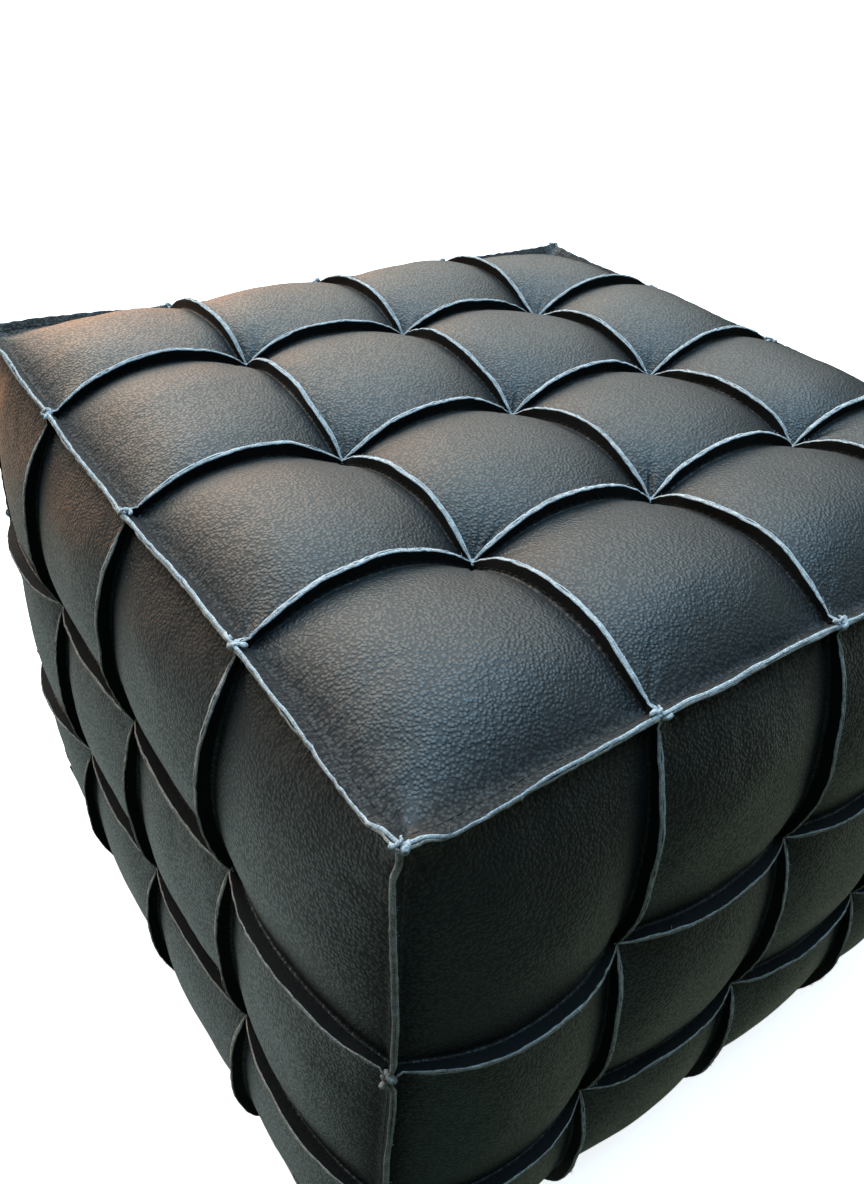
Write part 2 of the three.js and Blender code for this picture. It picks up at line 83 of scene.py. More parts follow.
GAP = 0.15                                             # from a seam's middle plane to the leather
LEATHER = 1.3                                          # thickness of the leather
RAW = GAP + LEATHER                                    # from the middle plane to the leather's outer face
FLANGE_MID = 8.5                                       # height of a seam's standing allowance
FLANGE_NODE = 5.5                                      # and where seams cross
PITCH = inner_high[0] - inner_low[0] + 2 * GAP
HALF = COLUMNS * PITCH / 2
BASE_SEAM = strip_low[2] - GAP
TOP_SEAM = strip_high[2] - (FLANGE_MID - GAP) / math.sqrt(2)

CORNER_BOW = 5.5                                       # how far the upright edges belly out
TOP_RISE = {"u": (18.5, 18), "v": (18.5, 18)}          # arch of a seam: at the pouf's edge, further in
SIDE_RISE = {"u": (15, 9), "v": (9, 9)}
LEFT_RISE = {"u": (9.5, 5), "v": (11.5, 9)}

GRID = 56                        # cells along one side of a leather square


# ---------------------------------------------------------------- smooth seeded noise

def lattice(ix, iy, iz, seed):
    """A steady random number from -1 to 1 for each point of a whole-number lattice."""
    h = (ix * 374761393 + iy * 668265263 + iz * 2147483647 + seed * 974634777) & 0xFFFFFFFF
    h = ((h ^ (h >> 13)) * 1274126177) & 0xFFFFFFFF
    h = ((h ^ (h >> 16)) * 2246822519) & 0xFFFFFFFF
    return ((h ^ (h >> 15)) & 0xFFFFFF) / float(0x7FFFFF) - 1.0


def noise(points, size, seed=0):
    """Smooth noise from -1 to 1 at points, an array whose last axis is X, Y, Z in mm. size is the
    width of its bumps in mm, one number or one for each axis."""
    p = np.asarray(points) / np.asarray(size, float)
    base = np.floor(p).astype(np.int64)
    t = p - base
    t = t * t * (3 - 2 * t)
    total = 0.0
    for dx in (0, 1):
        for dy in (0, 1):
            for dz in (0, 1):
                weight = (t[..., 0] if dx else 1 - t[..., 0])
                weight = weight * (t[..., 1] if dy else 1 - t[..., 1])
                weight = weight * (t[..., 2] if dz else 1 - t[..., 2])
                total = total + weight * lattice(
                    base[..., 0] + dx, base[..., 1] + dy, base[..., 2] + dz, seed)
    return total


# ---------------------------------------------------------------- the pouf's faces

class Face:
    """A face of the pouf: u to the right and v upwards as it is seen from outside."""

    def __init__(self, name, u, v, out, rows, rise, crown, bow=0.0, sag=0.0):
        self.name = name
        self.u, self.v, self.out = (np.array(axis, float) for axis in (u, v, out))
        self.squares = (COLUMNS, rows)
        self.rise = rise
        self.crown = crown                             # how far a square stands out beyond its seams
        self.bow = bow                                 # how far the whole face bellies out
        self.sag = sag                                 # and how much more it does so low down
        self.is_top = rows == COLUMNS


TOP = Face("top", (1, 0, 0), (0, 1, 0), (0, 0, 1), COLUMNS, TOP_RISE, 9)
SIDES = [
    Face("front", (1, 0, 0), (0, 0, 1), (0, -1, 0), ROWS, SIDE_RISE, 5.5, bow=10, sag=0.6),
    Face("right", (0, 1, 0), (0, 0, 1), (1, 0, 0), ROWS, SIDE_RISE, 5.5, bow=10),
    Face("back", (-1, 0, 0), (0, 0, 1), (0, 1, 0), ROWS, SIDE_RISE, 5.5, bow=10),
    Face("left", (0, -1, 0), (0, 0, 1), (-1, 0, 0), ROWS, LEFT_RISE, 5.5, bow=5, sag=-0.5),
]
FACES = [TOP] + SIDES


def squares():
    """Every leather square, as its face, column and row."""
    for face in FACES:
        for i, j in face_squares(face):
            yield face, i, j


def face_squares(face):
    return [(i, j) for i in range(face.squares[0]) for j in range(face.squares[1])]


def square_height(face):
    return PITCH if face.is_top else (TOP_SEAM - BASE_SEAM) / face.squares[1]


def arc(t):
    return 1 - np.abs(2 * t - 1) ** 2.2


def dome(t):
    return 1 - np.abs(2 * t - 1) ** 2.5


def belly(t):
    return 1 - np.abs(2 * t - 1) ** 4


def seam_rise(rise, line, lines, cell, cells):
    if line in (0, lines):
        return 0
    return rise[0] if cell in (0, cells - 1) else rise[1]


def puff(face, i, j, a, b):
    """How far square (i, j) stands out at (a, b) across it."""
    across, up = face.squares
    low = seam_rise(face.rise["u"], j, up, i, across)
    high = seam_rise(face.rise["u"], j + 1, up, i, across)
    left = seam_rise(face.rise["v"], i, across, j, up)
    right = seam_rise(face.rise["v"], i + 1, across, j, up)
    over_u = arc(a) * (low * (1 - b) + high * b)
    over_v = arc(b) * (left * (1 - a) + right * a)
    most = max(face.rise["u"][0], face.rise["v"][0])
    return over_u + over_v - over_u * over_v / most + face.crown * dome(a) * dome(b)


def surface(face, i, j, a, b):
    """Points of square (i, j), in mm, for arrays a and b from 0 to 1 across it."""
    a, b = np.broadcast_arrays(np.asarray(a, float), np.asarray(b, float))
    across, up = face.squares
    s = (i + a) / across
    t = (j + b) / up
    height = puff(face, i, j, a, b)
    if face.is_top:
        flat = np.stack([HALF * (2 * s - 1), HALF * (2 * t - 1), TOP_SEAM + height], axis=-1)
        return flat
    edge = CORNER_BOW * belly(t)
    bow = face.bow * belly(s) * belly(t) * (1 + face.sag * (1 - 2 * t))
    level = BASE_SEAM + t * (TOP_SEAM - BASE_SEAM)
    along = (HALF + edge) * (2 * s - 1)
    out = HALF + edge + bow + height
    return along[..., None] * face.u + out[..., None] * face.out + level[..., None] * face.v


# Places that the sewing and the filling have moved: where, how far around it, and by how much, in mm.
NEAR_CORNER = np.array([-HALF, -HALF, TOP_SEAM])
MOVED = [
    ((-PITCH, PITCH, 410), 42, (0, 0, 6.0)),
    ((0, PITCH, 410), 42, (0, 0, 2.5)),
    ((PITCH, -PITCH, 410), 42, (0, 0, 2.5)),
    ((-PITCH, 0, 410), 42, (0, 0, -3.5)),
    ((0, 0, 410), 42, (0, 0, -3.0)),
    ((PITCH, 0, 410), 42, (0, 0, -3.0)),
    ((PITCH, PITCH, 410), 42, (0, 0, -4.0)),
    ((-HALF, HALF, TOP_SEAM), 60, (0, 0, 7.0)),
    ((HALF, HALF - 40, TOP_SEAM + 20), 80, (0, 0, -3.0)),
    ((-HALF, -HALF, 262), 48, (3.0, -3.0, 0)),
    ((-HALF, -HALF, 130), 60, (3.0, -3.0, 0)),
]


def settled(points):
    """The small unevenness of the whole pouf, which moves neighbouring pieces alike."""
    p = np.array(points, float)
    drift = np.stack([noise(p, 95, 11 + k) for k in range(3)], axis=-1) * 1.4
    drift += np.stack([noise(p, 38, 21 + k) for k in range(3)], axis=-1) * 0.5
    drift *= np.clip((p[..., 2:3] - 3) / 60, 0, 1)
    for place, reach, shift in MOVED:
        near = np.exp(-((p - np.array(place)) ** 2).sum(-1) / (2 * reach ** 2))
        drift += near[..., None] * np.array(shift)
    return p + drift


# ---------------------------------------------------------------- seams of one square

def lean(face, i, j, side):
    """How the seam on one side of a square lies: own points from its middle plane to the square,
    and tilt is added to the face's normal to give the way that the allowance stands."""
    across, up = face.squares
    outside = {"left": i == 0, "right": i == across - 1, "low": j == 0, "high": j == up - 1}[side]
    away = {"left": -face.u, "right": face.u, "low": -face.v, "high": face.v}[side]
    is_base = side == "low" and not face.is_top and outside
    if outside and not is_base:
        return away, (face.out - away) / math.sqrt(2)
    return np.zeros(3), -away


def border(count):
    """The border of a square as loops of (a, b, grid column, grid row), anticlockwise from outside."""
    steps = [(k, 0) for k in range(count)] + [(count, k) for k in range(count)]
    steps += [(count - k, count) for k in range(count)] + [(0, count - k) for k in range(count)]
    return np.array(steps)


def allowance(face, i, j, a, b):
    """The height of the standing allowance along a square's border, with its uneven cut."""
    across, up = face.squares
    s, t = i + a, j + b
    on_edge = (s == 0) | (s == across) | (t == 0) | (t == up)
    along = np.where((a == 0) | (a == 1), b, a)
    height = np.where(on_edge, FLANGE_MID, FLANGE_NODE + (FLANGE_MID - FLANGE_NODE) * belly(along))
    place = surface(face, i, j, a, b)
    cut = 0.5 * noise(place, 17, 50 + FACES.index(face)) + 0.34 * noise(place, 3.0, 40 + 7 * i + j)
    return height + cut * np.where(on_edge, 1.5, 1.0)


def rotated(vectors, axes, angles):
    """Each vector turned about its own axis."""
    c, s = np.cos(angles)[:, None], np.sin(angles)[:, None]
    along = (vectors * axes).sum(1, keepdims=True)
    return vectors * c + np.cross(axes, vectors) * s + axes * along * (1 - c)


def smooth(value, low, high):
    t = np.clip((value - low) / (high - low), 0, 1)
    return t * t * (3 - 2 * t)


def flop(face, i, j, a, b, feet):
    """How the allowance lies over to one side along its seam: an axis and an angle for each point."""
    across, up = face.squares
    upright = (a == 0) | (a == 1)
    along = np.where(upright, b, a)
    axes = np.where(upright[:, None], face.v, face.u)
    angles = 0.20 * noise(feet, 55, 61) + 0.13 * noise(feet, 19, 62)
    from_node = np.minimum(along, 1 - along) * PITCH
    angles = angles * smooth(from_node, 0, 14)
    edges = [(a == 0, i == 0, "left"), (a == 1, i == across - 1, "right"),
             (b == 0, j == 0, "low"), (b == 1, j == up - 1, "high")]
    to_corner = np.linalg.norm(feet - NEAR_CORNER, axis=1)
    for mask, outside, side in edges:
        if not outside:
            continue
        if face.is_top or side == "high":
            outward = {"left": -face.u, "right": face.u, "low": -face.v, "high": face.v}[side]
            outward = outward if face.is_top else face.out
            droop = 0.10 + 0.16 * noise(feet, 40, 63) + 0.10 * noise(feet, 13, 64)
            droop += 0.55 * np.exp(-(to_corner / 62) ** 2) * smooth(to_corner, 2, 16)
            axes[mask] = np.cross((0, 0, 1), outward)
            angles[mask] = droop[mask]
        elif side == "low":
            angles[mask] = 0
        else:
            swing = 0.25 * noise(feet, 70, 65) + 0.10 * noise(feet, 16, 66)
            near = np.linalg.norm(feet[:, :2] - NEAR_CORNER[:2], axis=1) < PITCH / 2
            down = smooth(TOP_SEAM - feet[:, 2], 8, 90)
            swing += np.where(near, -0.25 + 0.5 * down, 0)
            axes[mask] = (0, 0, 1)
            angles[mask] = swing[mask] * smooth(from_node, 0, 10)[mask]
    corner = ((a == 0) | (a == 1)) & ((b == 0) | (b == 1))
    angles[corner] = 0
    return axes, angles


def ring(face, i, j, a, b, height, away):
    """Border points at a height up the allowance and a distance away from the middle plane."""
    feet = surface(face, i, j, a, b)
    n = len(a)
    height = np.broadcast_to(height, (n,))
    away = np.broadcast_to(away, (n,))
    masks = {"left": a == 0, "right": a == 1, "low": b == 0, "high": b == 1}
    rise = np.tile(face.out, (n, 1))
    leans = {side: lean(face, i, j, side) for side in masks}
    for side, mask in masks.items():
        rise[mask] += leans[side][0]
    tilted = np.linalg.norm(rise, axis=1) > 1.01
    offset = rise * (np.where(tilted, 1 / math.sqrt(2), 1.0) * height)[:, None]
    upright = masks["left"] | masks["right"]
    level = masks["low"] | masks["high"]
    for side, mask in masks.items():
        alone = mask & ~(level if side in ("left", "right") else upright)
        offset[alone] += leans[side][1] * away[alone][:, None]
    for first in ("left", "right"):
        for second in ("low", "high"):
            both = masks[first] & masks[second]
            one, two = leans[first][1], leans[second][1]
            offset[both] += (one + two) / (1 + float(one @ two)) * away[both][:, None]
    axes, angles = flop(face, i, j, a, b, feet)
    return feet + rotated(offset, axes, angles)


def outer_face(face, i, j, a, b):
    """From the middle plane to the leather's outer face: less where four seams are pinched together."""
    across, up = face.squares
    s, t = i + a, j + b
    on_edge = (s == 0) | (s == across) | (t == 0) | (t == up)
    along = np.where((a == 0) | (a == 1), b, a)
    from_node = np.minimum(along, 1 - along) * PITCH
    pinch = np.where(on_edge, 1.0, 0.4 + 0.6 * smooth(from_node, 0, 13))
    return RAW * pinch * (1 + 0.12 * noise(surface(face, i, j, a, b), 4.5, 70))


# ---------------------------------------------------------------- creases in the leather

def creases(face, i, j, a, b, points):
    """How far the leather of a square is drawn in or out by its folds and puckers, in mm."""
    across, up = face.squares
    rng = np.random.default_rng(1000 + 97 * FACES.index(face) + 13 * i + j)
    wide, tall = PITCH, square_height(face)
    x, y = a * wide, b * tall
    depth = 1.1 * noise(points, 52, 3) + 0.45 * noise(points, 24, 4)
    depth *= dome(a) * dome(b)
    for cx, cy in [(0, 0), (wide, 0), (wide, tall), (0, tall)]:
        dx, dy = np.abs(x - cx), np.abs(y - cy)
        r = np.hypot(dx, dy) + 1e-6
        angle = np.arctan2(dy, dx)
        outer = (cx == 0 and i == 0) or (cx > 0 and i == across - 1)
        outer_v = (cy == 0 and j == 0) or (cy > 0 and j == up - 1)
        strong = 0.55 if (outer or outer_v) else 1.0
        for _ in range(4):
            heading = rng.uniform(0.12, math.pi / 2 - 0.12)
            width = rng.uniform(0.05, 0.11)
            reach = rng.uniform(16, 38)
            size = rng.uniform(0.5, 1.5) * strong
            bend = heading + 0.05 * np.sin(r / 11 + rng.uniform(0, 6))
            fold = np.exp(-((angle - bend) / width) ** 2)
            depth -= size * fold * (r / 9) * np.exp(1 - r / 9) * np.exp(-(r / reach) ** 2)
    near = np.minimum(np.minimum(x, wide - x), np.minimum(y, tall - y))
    along = np.where(np.minimum(x, wide - x) < np.minimum(y, tall - y), y, x)
    pucker = noise(np.stack([along, near * 0.35, np.full_like(along, 31.0 * (i + 7 * j))], -1), 6.5, 5)
    depth += 0.38 * pucker * np.exp(-near / 8) * np.clip(near / 3, 0, 1)
    return depth


# ---------------------------------------------------------------- meshes and cloth

def new_mesh(name, points, faces, material_of=None, materials=()):
    mesh = bpy.data.meshes.new(name)
    mesh.from_pydata((np.asarray(points) * MM).tolist(), [], faces)
    for material in materials:
        mesh.materials.append(material)
    if material_of is not None:
        mesh.polygons.foreach_set("material_index", np.asarray(material_of, np.int32))
    mesh.polygons.foreach_set("use_smooth", np.ones(len(mesh.polygons), bool))
    mesh.update()
    piece = bpy.data.objects.new(name, mesh)
    bpy.context.scene.collection.objects.link(piece)
    return piece


CLOTH_GRID = 22                  # cells along each side of a square in the cloth simulation
CLOTH_FRAMES = 16
EXTRA_LEATHER = 0.02            # how much wider the leather is than the place it is sewn into
WRINKLE_LIMIT = 0.7
TAUTNESS = 0.25                  # how much of the simulated folds the stuffed leather keeps


def blurred(grid, times):
    for _ in range(times):
        padded = np.pad(grid, 1, mode="edge")
        grid = (padded[:-2, 1:-1] + padded[2:, 1:-1] + padded[1:-1, :-2] + padded[1:-1, 2:] + 4 * grid) / 8
    return grid


def blow_up(sheet, sewn):
    """Lets a sheet of leather, held where it is sewn, swell into the room that its extra width gives."""
    sheet.vertex_groups.new(name="sewn").add(sewn, 1.0, "REPLACE")
    cloth = sheet.modifiers.new("cloth", "CLOTH")
    settings = cloth.settings
    settings.quality = 6
    settings.mass = 0.3
    settings.air_damping = 3
    settings.tension_stiffness = settings.compression_stiffness = 14
    settings.shear_stiffness = 5
    settings.bending_stiffness = 0.15
    settings.use_pressure = True
    settings.uniform_pressure_force = 1.5
    settings.shrink_min = -EXTRA_LEATHER
    settings.vertex_group_mass = "sewn"
    settings.effector_weights.gravity = 0
    cloth.point_cache.frame_start, cloth.point_cache.frame_end = 1, CLOTH_FRAMES
    for frame in range(1, CLOTH_FRAMES + 1):
        bpy.context.scene.frame_set(frame)
    swollen = sheet.evaluated_get(bpy.context.evaluated_depsgraph_get()).data
    places = np.zeros(len(swollen.vertices) * 3)
    swollen.vertices.foreach_get("co", places)
    bpy.context.scene.frame_set(1)
    return places.reshape(-1, 3) / MM


def wrinkles():
    """The folds that swelling gives to the leather of each square, as grids of depths in mm."""
    side = CLOTH_GRID + 1
    a, b = np.meshgrid(np.linspace(0, 1, side), np.linspace(0, 1, side))
    owners = list(squares())
    rest = np.concatenate([surface(face, i, j, a, b).reshape(-1, 3) for face, i, j in owners])
    cells, sewn = [], []
    for number in range(len(owners)):
        start = number * side * side
        sewn += [int(start + q * side + p) for p, q in border(CLOTH_GRID)]
        for q in range(CLOTH_GRID):
            for p in range(CLOTH_GRID):
                corner = start + q * side + p
                cells.append((corner, corner + 1, corner + side + 1, corner + side))
    sheet = new_mesh("swelling_leather", rest, cells)
    moved = (blow_up(sheet, sewn) - rest).reshape(len(owners), side, side, 3)
    bpy.data.objects.remove(sheet)
    folds = {}
    for (face, i, j), shift in zip(owners, moved):
        depth = shift @ face.out
        fold = TAUTNESS * (depth - blurred(depth, 14))
        folds[face.name, i, j] = np.clip(fold, -WRINKLE_LIMIT, WRINKLE_LIMIT)
    return folds


def resampled(grid, a, b):
    """A grid read smoothly (Catmull-Rom) at places a across it and b up it."""
    cells = len(grid) - 1
    padded = np.pad(grid, 2, mode="edge")

    def weights(t):
        k = np.clip(np.floor(t * cells).astype(int), 0, cells - 1)
        f = t * cells - k
        return k, [(-f + 2 * f ** 2 - f ** 3) / 2, (2 - 5 * f ** 2 + 3 * f ** 3) / 2,
                   (f + 4 * f ** 2 - 3 * f ** 3) / 2, (-f ** 2 + f ** 3) / 2]

    column, across = weights(a)
    row, up = weights(b)
    total = 0
    for q in range(4):
        for p in range(4):
            total = total + up[q] * across[p] * padded[row + q + 1, column + p + 1]
    return total


def square_topology(count, rings):
    """Faces of a leather square: its face, the rings of its allowance and its underside; then how many
    faces its face has, and which ring each allowance face belongs to."""
    side = count + 1
    vert = lambda p, q: q * side + p
    steps = border(count)
    m = len(steps)
    faces = []
    for q in range(count):
        for p in range(count):
            faces.append((vert(p, q), vert(p + 1, q), vert(p + 1, q + 1), vert(p, q + 1)))
    grid_faces = len(faces)
    loop = [vert(p, q) for p, q in steps]
    start = side * side
    ring_of = []
    loops = [loop] + [[start + k * m + s for s in range(m)] for k in range(rings)]
    under = start + rings * m
    last = [under + vert(p, q) for p, q in steps]
    for k, (one, two) in enumerate(zip(loops, loops[1:] + [last])):
        for s in range(m):
            t = (s + 1) % m
            faces.append((one[t], one[s], two[s], two[t]))
            ring_of.append(k)
    for q in range(count):
        for p in range(count):
            faces.append((under + vert(p, q), under + vert(p, q + 1),
                          under + vert(p + 1, q + 1), under + vert(p + 1, q)))
    return faces, grid_faces, ring_of


FILLET = 3.6                     # width of the bend from the leather's face up into the allowance
FOOT = 1.6                       # how far up the allowance that bend ends
PROFILE = [                      # the allowance's section: part of its height, more height, part of RAW
    (0.45, 0.0, 1.0), (0.8, 0.0, 1.02), (1.0, -0.5, 1.0), (1.0, -0.12, 0.9), (1.0, 0.08, 0.55),
    (1.0, 0.16, 0.2), (1.0, 0.16, 0.01), (0.6, 0.0, GAP / RAW), (0.0, 0.0, GAP / RAW),
    (0.0, -LEATHER, GAP / RAW),
]
BEND = (0.25, 0.5, 0.75, 1.0)
RAW_RINGS = range(len(BEND) + 3, len(BEND) + 7)        # the rings whose faces are the raw cut edge
TOPOLOGY = square_topology(GRID, len(BEND) + len(PROFILE))
WRINKLES = wrinkles()


def grid_line():
    """Places across a square from 0 to 1, closer together near its seams."""
    line = np.linspace(0, 1, GRID + 1)
    return line - 0.5 * np.sin(2 * math.pi * line) / (2 * math.pi)


def square_points(face, i, j):
    """The points of a leather square, in the order that TOPOLOGY joins them."""
    line = grid_line()
    inset_a, inset_b = FILLET / PITCH, FILLET / square_height(face)
    a = inset_a + (1 - 2 * inset_a) * line[None, :]
    b = inset_b + (1 - 2 * inset_b) * line[:, None]
    a, b = np.broadcast_arrays(a, b)
    top = surface(face, i, j, a, b)
    depth = creases(face, i, j, a, b, top)
    if (face.name, i, j) in WRINKLES:
        depth = depth + resampled(WRINKLES[face.name, i, j], a, b)
    moved = top + depth[..., None] * face.out
    under = top - LEATHER * face.out
    steps = border(GRID)
    edge_a, edge_b = line[steps[:, 0]], line[steps[:, 1]]
    height = allowance(face, i, j, edge_a, edge_b)
    width = outer_face(face, i, j, edge_a, edge_b)
    rings = []
    start = moved[steps[:, 1], steps[:, 0]]
    crease = ring(face, i, j, edge_a, edge_b, 0.0, width)
    foot = ring(face, i, j, edge_a, edge_b, FOOT, width)
    for t in BEND:
        rings.append((1 - t) ** 2 * start + 2 * t * (1 - t) * crease + t * t * foot)
    for part, more, away in PROFILE:
        rings.append(ring(face, i, j, edge_a, edge_b, part * height + more, away * width))
    everything = np.concatenate([moved.reshape(-1, 3)] + rings + [under.reshape(-1, 3)])
    return settled(everything)


# ---------------------------------------------------------------- materials

def new_material(name):
    material = bpy.data.materials.new(name)
    material.use_nodes = True
    tree = material.node_tree
    shader = tree.nodes["Principled BSDF"]
    coords = tree.nodes.new("ShaderNodeTexCoord")
    return material, tree, shader, coords.outputs["Object"]


def node(tree, kind, inputs=None, **settings):
    made = tree.nodes.new(kind)
    for key, value in settings.items():
        setattr(made, key, value)
    for key, value in (inputs or {}).items():
        if isinstance(value, bpy.types.NodeSocket):
            tree.links.new(value, made.inputs[key])
        else:
            made.inputs[key].default_value = value
    return made


def ramp(tree, factor, stops):
    made = node(tree, "ShaderNodeValToRGB", {"Fac": factor})
    elements = made.color_ramp.elements
    while len(elements) < len(stops):
        elements.new(0.5)
    for element, (place, colour) in zip(elements, stops):
        element.position = place
        element.color = (*colour, 1) if len(colour) == 3 else colour
    return made.outputs["Color"]


def mottle(tree, coords, scale, detail, roughness=0.5, distortion=0.0):
    """Noise over a surface, from 0 to 1."""
    made = node(tree, "ShaderNodeTexNoise", {"Vector": coords, "Scale": scale, "Detail": detail,
                                             "Roughness": roughness, "Distortion": distortion})
    return made.outputs["Fac"]


def bumpy(tree, height, strength, distance, under=None):
    """A normal roughened by height, a distance in metres, over another normal."""
    inputs = {"Height": height, "Strength": strength, "Distance": distance}
    if under is not None:
        inputs["Normal"] = under
    return node(tree, "ShaderNodeBump", inputs).outputs["Normal"]


def pebble_grain(tree, coords):
    """Heights from 0 to 1 of rounded pebbles about 1.7 mm wide."""
    waver = node(tree, "ShaderNodeTexNoise", {"Vector": coords, "Scale": 300.0, "Detail": 2.0})
    shift = node(tree, "ShaderNodeVectorMath", {0: waver.outputs["Color"], "Scale": 0.0003},
                 operation="SCALE")
    place = node(tree, "ShaderNodeVectorMath", {0: coords, 1: shift.outputs[0]}, operation="ADD")
    pebbles = node(tree, "ShaderNodeTexVoronoi", {"Vector": place.outputs[0], "Scale": 600.0}, feature="F1")
    domed = node(tree, "ShaderNodeMath", {0: pebbles.outputs["Distance"], 1: 2.0}, operation="POWER")
    rounded = node(tree, "ShaderNodeMapRange", {"Value": domed.outputs[0], "From Min": 0.0,
                                                "From Max": 0.42, "To Min": 1.0, "To Max": 0.0})
    return rounded.outputs["Result"]


def leather_material():
    """Black leather with a pressed pebble grain, drawn into small creases along its seams."""
    material, tree, shader, coords = new_material("pebbled_leather")
    rounded = pebble_grain(tree, coords)
    broad = mottle(tree, coords, 11.0, 3.0)
    colour = ramp(tree, broad, [(0.3, (0.011, 0.0112, 0.012)), (0.7, (0.0165, 0.0163, 0.0165))])
    # The valleys between the pebbles are painted near-black: painted shade in the grain.
    grain_valley_painted_shade = node(tree, "ShaderNodeMix", {"Factor": rounded, "A": (0.003, 0.003, 0.0035, 1), "B": colour},
                data_type="RGBA")
    tree.links.new(grain_valley_painted_shade.outputs["Result"], shader.inputs["Base Color"])
    along = node(tree, "ShaderNodeAttribute", attribute_name="along_seam")
    draw = node(tree, "ShaderNodeAttribute", attribute_name="drawn_in")
    gloss = node(tree, "ShaderNodeMapRange", {"Value": rounded, "To Min": 0.55, "To Max": 0.31})
    rubbed = node(tree, "ShaderNodeMath", {0: draw.outputs["Fac"], 1: 0.38, 2: gloss.outputs["Result"]},
                  operation="MULTIPLY_ADD")
    tree.links.new(rubbed.outputs[0], shader.inputs["Roughness"])
    shader.inputs["Specular IOR Level"].default_value = 0.5
    gathers = mottle(tree, along.outputs["Vector"], 1.0, 2.5)
    gathered = node(tree, "ShaderNodeMath", {0: gathers, 1: draw.outputs["Fac"]}, operation="MULTIPLY")
    normal = bumpy(tree, gathered.outputs[0], 0.8, 0.0016)
    normal = bumpy(tree, mottle(tree, coords, 150.0, 4.0, 0.62), 0.35, 0.0008, normal)
    normal = bumpy(tree, rounded, 0.9, 0.00025, normal)
    normal = bumpy(tree, mottle(tree, coords, 2200.0, 2.0), 0.2, 0.0001, normal)
    tree.links.new(normal, shader.inputs["Normal"])
    return material


def plain_material(name, texture, tones, roughness, specular, bump):
    """A matt material toned by a texture, which also roughens it by a strength and a distance."""
    material, tree, shader, coords = new_material(name)
    height = mottle(tree, coords, *texture)
    tree.links.new(ramp(tree, height, tones), shader.inputs["Base Color"])
    shader.inputs["Roughness"].default_value = roughness
    shader.inputs["Specular IOR Level"].default_value = specular
    tree.links.new(bumpy(tree, height, *bump), shader.inputs["Normal"])
    return material


def painted_shade_leather_material():
    """The same leather where it stands up inside the seams: rougher, and painted near-black as painted shade.
    """
    tones = [(0.3, (0.002, 0.002, 0.0022)), (0.7, (0.006, 0.006, 0.006))]
    return plain_material("seam_leather_painted_shade", (700.0, 3.0), tones, 0.8, 0.2, (0.5, 0.0004))


def raw_edge_material(name, dull, pale):
    """The pale fibrous cut edge of the leather."""
    material, tree, shader, coords = new_material(name)
    fibres = mottle(tree, coords, 1500.0, 4.0, 0.7)
    blotches = mottle(tree, coords, 240.0, 2.0)
    shade = ramp(tree, blotches, [(0.25, dull), (0.75, pale)])
    shaded = ramp(tree, fibres, [(0.35, (0.35, 0.35, 0.35)), (0.6, (1, 1, 1))])
    mixed = node(tree, "ShaderNodeMix", {"Factor": 1.0, 6: shade, 7: shaded}, data_type="RGBA",
                 blend_type="MULTIPLY")
    tree.links.new(mixed.outputs["Result"], shader.inputs["Base Color"])
    shader.inputs["Roughness"].default_value = 0.9
    shader.inputs["Specular IOR Level"].default_value = 0.15
    tree.links.new(bumpy(tree, fibres, 0.9, 0.0007), shader.inputs["Normal"])
    return material


def fibrous_material(name, pale, dark, scale, bump, roughness=0.95):
    """A matt material of tangled or twisted fibres."""
    texture = (scale, 5.0, 0.65, 0.6)
    return plain_material(name, texture, [(0.3, dark), (0.7, pale)], roughness, 0.2, (0.8, bump))


def woven_material(name, pale, dark, pitch):
    """A tight weave whose threads are a pitch apart, in metres."""
    material, tree, shader, coords = new_material(name)
    bands = []
    for axis in ("X", "Y"):
        wave = node(tree, "ShaderNodeTexWave", {"Vector": coords, "Scale": 0.314 / pitch, "Distortion": 0.6,
                                                "Detail": 1.0}, bands_direction=axis)
        bands.append(wave.outputs["Fac"])
    weave = node(tree, "ShaderNodeMath", {0: bands[0], 1: bands[1]}, operation="MULTIPLY")
    shade = ramp(tree, weave.outputs[0], [(0.0, dark), (1.0, pale)])
    tree.links.new(shade, shader.inputs["Base Color"])
    shader.inputs["Roughness"].default_value = 0.85
    tree.links.new(bumpy(tree, weave.outputs[0], 0.7, pitch / 4), shader.inputs["Normal"])
    return material


def metal_material():
    """Dull die-cast zinc with small scuffs."""
    material, tree, shader, coords = new_material("cast_zinc")
    scuffs = mottle(tree, coords, 900.0, 4.0)
    tone = ramp(tree, scuffs, [(0.3, (0.20, 0.195, 0.18)), (0.7, (0.33, 0.32, 0.30))])
    tree.links.new(tone, shader.inputs["Base Color"])
    gloss = node(tree, "ShaderNodeMapRange", {"Value": scuffs, "To Min": 0.28, "To Max": 0.5})
    tree.links.new(gloss.outputs["Result"], shader.inputs["Roughness"])
    shader.inputs["Metallic"].default_value = 1.0
    tree.links.new(bumpy(tree, scuffs, 0.2, 0.0001), shader.inputs["Normal"])
    return material


def edge_material(face):
    # Side faces get the darker raw edge, which is painted shade.
    return TOP_EDGE if face.is_top else SIDE_EDGE_PAINTED_SHADE


LEATHER_SKIN = leather_material()
# A darker copy of the leather for the allowances inside the seams: painted shade.
SEAM_PAINTED_SHADE_LEATHER = painted_shade_leather_material()
TOP_EDGE = raw_edge_material("raw_leather_edge", (0.42, 0.44, 0.46), (0.74, 0.77, 0.79))
